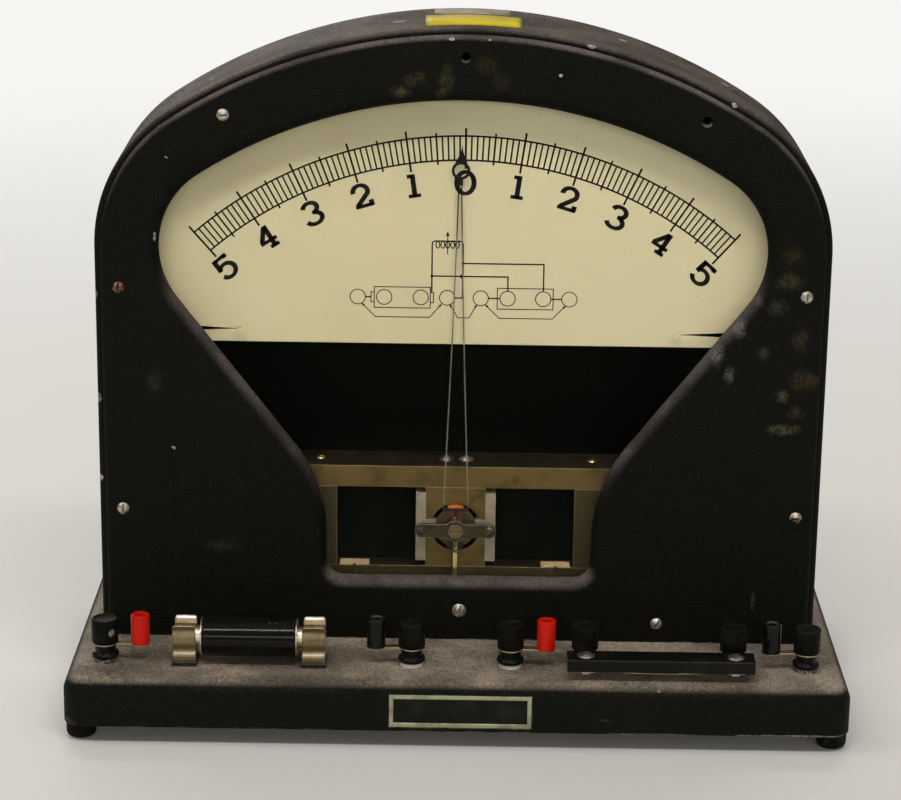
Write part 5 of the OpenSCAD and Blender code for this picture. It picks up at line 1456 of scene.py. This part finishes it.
# Blank paper labels on top of the case
labelForms = {
    "yellowLabel": {
        "x": (-20.2, 27.2),
        "y": (-20.3, 10.4),
        "colour": (0.57, 0.455, 0.003),
        "dark": (0.4, 0.3, 0.005),
        "marks": (
            # painted shadow at both ends of the label; the third mark makes the front edge darker
            mark((-20.2, -8.0, 350.0), (1.6, 40, 9), 0.5, 0.9, (0.05, 0.035, 0.006)),
            mark((27.2, -8.0, 349.0), (1.6, 40, 9), 0.5, 0.9, (0.05, 0.035, 0.006)),
            mark((6.0, -19.0, 350.0), (30, 1.0, 9), 0.8, 0.5, (0.12, 0.09, 0.01)),
        ),
    },
    "greyLabel": {
        "x": (-16.0, 22.0),
        "y": (14.0, 31.0),
        "colour": (0.36, 0.31, 0.245),
        "dark": (0.14, 0.115, 0.085),
        "marks": (),
    },
}


labelSheet = {
    "lift": 0.12,
    "steps": 12,
    "curl": 0.25,
    "backCurl": 0.4,
    "thick": 0.0004,  # m
}


def addLabels(forms, sheet):
    archZ = caseForm["top"] - caseForm["archRadius"]
    radius = caseForm["archRadius"] + sheet["lift"]
    steps = sheet["steps"]
    for name, form in forms.items():
        verts = []
        for i in range(steps + 1):
            x = form["x"][0] + (form["x"][1] - form["x"][0]) * i / steps
            z = archZ + math.sqrt(radius * radius - x * x)
            curl = sheet["curl"] if i in (0, steps) else 0.0
            verts += [(x, form["y"][0], z + curl), (x, form["y"][1], z + curl * sheet["backCurl"])]
        faces = [(2 * i, 2 * i + 2, 2 * i + 3, 2 * i + 1) for i in range(steps)]
        label = addPiece(name, verts, faces, labelPaper(name + "Paper", form))
        solid = label.modifiers.new("paper", "SOLIDIFY")
        solid.thickness = sheet["thick"]


addLabels(labelForms, labelSheet)
print("plate and labels made")


# Turned pieces: a line of (radius, height) pairs spun about an upright axis
def turnedRings(profile, centre, steps=64):
    rings = []
    for radius, height in profile:
        turns = [2 * math.pi * i / steps for i in range(steps)]
        spin = [(radius * math.cos(a), radius * math.sin(a), height) for a in turns]
        rings.append([tuple(c + p for c, p in zip(centre, point)) for point in spin])
    return ringBands(rings)


def roundEdge(radius, height, size, start, end):
    return arcPoints((radius, height), size, start, end, 5)


# Knobs: plain sides, with a rim round a shallow dish on top
knobForm = {
    "radius": 6.7,
    "height": 12.6,
    "edge": 0.8,
    "topEdge": 0.6,
    "rim": 1.2,
    "dish": 0.55,
    "dishSlope": (0.35, 0.7, 0.8),  # in, share of the depth, in
    "bore": 1.8,
    "boreDepth": 9.0,
}


def addKnobs(form):
    r, h, e, top = form["radius"], form["height"], form["edge"], form["topEdge"]
    lip = r - form["rim"]
    profile = [(0.0, form["boreDepth"]), (form["bore"], form["boreDepth"]), (form["bore"], 0.0)]
    profile += roundEdge(r - e, e, e, -90, 0)
    profile += roundEdge(r - top, h - top, top, 0, 90)
    floor = h - form["dish"]
    upper, share, lower = form["dishSlope"]
    profile += [(lip, h), (lip - upper, h - form["dish"] * share), (lip - lower, floor), (0.0, floor)]
    for i in range(1, 7):
        low, high = nodeBox("knob_%d" % i)
        centre = ((low.x + high.x) / 2, (low.y + high.y) / 2, low.z)
        knob = addPiece("knobGrip%d" % i, *turnedRings(profile, centre), phenolic, "knob_%d" % i)
        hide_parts("knob_%d" % i)


addKnobs(knobForm)

# Jack sleeves: round-edged tubes, closed at the foot
sleeveForm = {
    "radius": 4.7,
    "height": 15.4,
    "edge": 0.7,
    "bore": 2.1,
    "chamfer": 0.5,
    "floor": 3.0,
}


def addSleeves(form):
    r, h, e, bore = form["radius"], form["height"], form["edge"], form["bore"]
    profile = [(0.0, 0.0), (r, 0.0)] + roundEdge(r - e, h - e, e, 0, 90)
    profile += [(bore + form["chamfer"], h), (bore, h - form["chamfer"])]
    profile += [(bore, form["floor"]), (0.0, form["floor"])]
    for node, name, material, slot in (("red_sleeves", "redSleeves", glossRed, "red_plastic"),
                                       ("black_sleeves", "blackSleeves", sleeveBlack, "black_plastic")):
        low, high = nodeBox(node)
        verts, faces = [], []
        for x in (low.x + r, high.x - r):
            appendMesh(verts, faces, *turnedRings(profile, (x, (low.y + high.y) / 2, low.z)))
        sleeves = addPiece(name, verts, faces, material)
        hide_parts(node)


addSleeves(sleeveForm)

# Resistor body: a smooth rod with rounded ends, lying along the row
resistorForm = {"edge": 0.8, "sides": 96}


def addResistor(form):
    low, high = nodeBox("resistor_body")
    middle = (low + high) / 2
    r, length, e = (high.z - low.z) / 2, high.x - low.x, form["edge"]
    profile = [(0.0, 0.0)] + roundEdge(r - e, e, e, -90, 0)
    profile += roundEdge(r - e, length - e, e, 0, 90) + [(0.0, length)]
    verts, faces = turnedRings(profile, (0.0, 0.0, 0.0), form["sides"])
    verts = [(low.x + along, middle.y + across, middle.z + up) for across, up, along in verts]
    body = addPiece("resistorBody", verts, faces, glossBlack, "resistor")
    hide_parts("resistor_body")


addResistor(resistorForm)

# Fuse clips: bent spring strip with a waist under the ferrule and a flared lip
clipForm = {
    "width": 11.4,
    "thick": 0.8,
    "inside": 5.5,
    "corner": 1.6,
    "lipFrom": 16.1,
    "top": 19.75,
    "cornerSteps": (0.0, 0.15, 0.45, 0.9, 1.6),
    "smoothAngle": 50.0,
    "line": ((0.0, 0.8), (0.0, 3.5), (-1.1, 5.7), (-0.2, 9.0), (0.15, 11.7), (0.35, 13.9), (0.0, 16.1),
             (0.35, 17.4), (1.0, 18.7), (1.9, 19.75)),
}


# A smooth line through a few points
def smoothLine(points, steps=5):
    points = [Vector(p) for p in points]
    padded = [points[0]] + points + [points[-1]]
    line = []
    for a, b, c, d in zip(padded, padded[1:], padded[2:], padded[3:]):
        for i in range(steps):
            t = i / steps
            line.append(0.5 * (2 * b + (c - a) * t + (2 * a - 5 * b + 4 * c - d) * t * t
                               + (3 * b - a - 3 * c + d) * t ** 3))
    return [tuple(p) for p in line] + [tuple(points[-1])]


def addClips(form):
    outer = [(form["inside"] + form["thick"] + x, z) for x, z in smoothLine(form["line"])]
    inner = [(form["inside"] + x, max(z, form["thick"])) for x, z in smoothLine(form["line"])]
    half = [(form["inside"] + form["thick"], 0.0)] + outer + inner[::-1]
    loop = half + [(-y, z) for y, z in reversed(half)]
    low, high = nodeBox("fuse_clips")
    y0 = (low.y + high.y) / 2
    w, corner = form["width"] / 2, form["corner"]
    ends = form["cornerSteps"]
    stations = [-w + step for step in ends] + [w - step for step in reversed(ends)]
    verts, faces = [], []
    for middle in (low.x + w, high.x - w):
        rings = []
        for x in stations:
            beyond = max(abs(x) - (w - corner), 0.0)
            drop = corner - math.sqrt(max(corner * corner - beyond * beyond, 0.0))
            share = 1 - drop / (form["top"] - form["lipFrom"])
            ring = []
            for y, z in loop:
                if z > form["lipFrom"]:
                    z = form["lipFrom"] + (z - form["lipFrom"]) * share
                ring.append((middle + x, y0 + y, low.z + z))
            rings.append(ring)
        more, bands = ringBands(rings)
        count = len(loop)
        bands += [tuple(range(count)), tuple(range(len(more) - count, len(more)))]
        appendMesh(verts, faces, more, bands)
    clips = addPiece("fuseClips", verts, faces, clipNickel, smoothAngle=form["smoothAngle"])
    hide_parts("fuse_clips")


addClips(clipForm)
print("knobs, sleeves, resistor and clips made")


# Pale floor and backdrop
studio = {
    "floorColour": (0.78, 0.77, 0.74),
    "floorSize": 6.0,  # m
    "paleShare": 0.95,
    "cloud": 3.0,
    "cloudDetail": 4.0,
    "roughness": 0.8,
    "shine": 0.1,
    "glowFrom": 0.25,  # m
    "glowTo": 1.9,
    "farGlow": 1.0,
    "skyColour": (0.93, 0.92, 0.9),
    "skyLight": 0.27,
}


def addFloor(look):
    half = look["floorSize"] / 2
    mesh = bpy.data.meshes.new("floor")
    corners = [(-half, -half, 0), (half, -half, 0), (half, half, 0), (-half, half, 0)]
    mesh.from_pydata(corners, [], [(0, 1, 2, 3)])
    material, tree, shader = startMaterial("floorPaper")
    cloud = objectNoise(tree, look["cloud"], look["cloudDetail"])
    pale = tuple(c * look["paleShare"] for c in look["floorColour"])
    setInputs(tree, shader, Base_Color=mixColour(tree, cloud, look["floorColour"], pale),
              Roughness=look["roughness"], Specular_IOR_Level=look["shine"])
    away = vectorMaths(tree, "LENGTH", objectPlace(tree))["Value"]
    far = spread(tree, away, look["glowFrom"], look["glowTo"], 0.0, look["farGlow"])
    seen = addNode(tree, "LightPath").outputs["Is Camera Ray"]
    shine = addNode(tree, "Emission", Color=look["skyColour"])
    mixShaders(tree, times(tree, far, seen), shader, shine, "Material Output")
    mesh.materials.append(material)
    floor = bpy.data.objects.new("floor", mesh)
    scene.collection.objects.link(floor)


def addWorld(look):
    world = bpy.data.worlds.new("softRoom")
    scene.world = world
    world.use_nodes = True
    tree = world.node_tree
    back = setInputs(tree, tree.nodes["Background"], Color=look["skyColour"], Strength=look["skyLight"])
    bright = addNode(tree, "Background", Color=look["skyColour"])
    seen = addNode(tree, "LightPath").outputs["Is Camera Ray"]
    mixShaders(tree, seen, back, bright, "World Output")


# Soft ceiling panels, with a weak fill from the front and one from behind
lampColour = (1.0, 0.97, 0.92)
lamps = {
    "ceilingFront": {"place": (0.1, -1.1, 1.85), "aim": (0, 0, 0.15), "size": (1.7, 0.16), "power": 18.0},
    "ceilingLeft": {"place": (-1.3, -0.5, 1.6), "aim": (0, 0, 0.15), "size": (0.8, 1.2), "power": 6.6},
    "frontFill": {"place": (0.3, -2.4, 0.9), "aim": (0, 0, 0.18), "size": (2.8, 0.2), "power": 10.8},
    "ceilingBack": {"place": (0.0, 0.9, 1.6), "aim": (0, 0, 0.25), "size": (1.8, 0.16), "power": 9.0},
    "backFill": {"place": (-0.8, 2.4, 0.8), "aim": (0, 0, 0.18), "size": (1.4, 1.0), "power": 11.0},
}


def addLamps(table):
    for name, lamp in table.items():
        data = bpy.data.lights.new(name, "AREA")
        data.shape = "RECTANGLE"
        data.size, data.size_y = lamp["size"]
        data.energy = lamp["power"]
        data.color = lampColour
        thing = bpy.data.objects.new(name, data)
        thing.location = lamp["place"]
        aim = Vector(lamp["aim"]) - Vector(lamp["place"])
        thing.rotation_euler = aim.to_track_quat("-Z", "Y").to_euler()
        scene.collection.objects.link(thing)


addFloor(studio)
addWorld(studio)
addLamps(lamps)
print("studio ready")
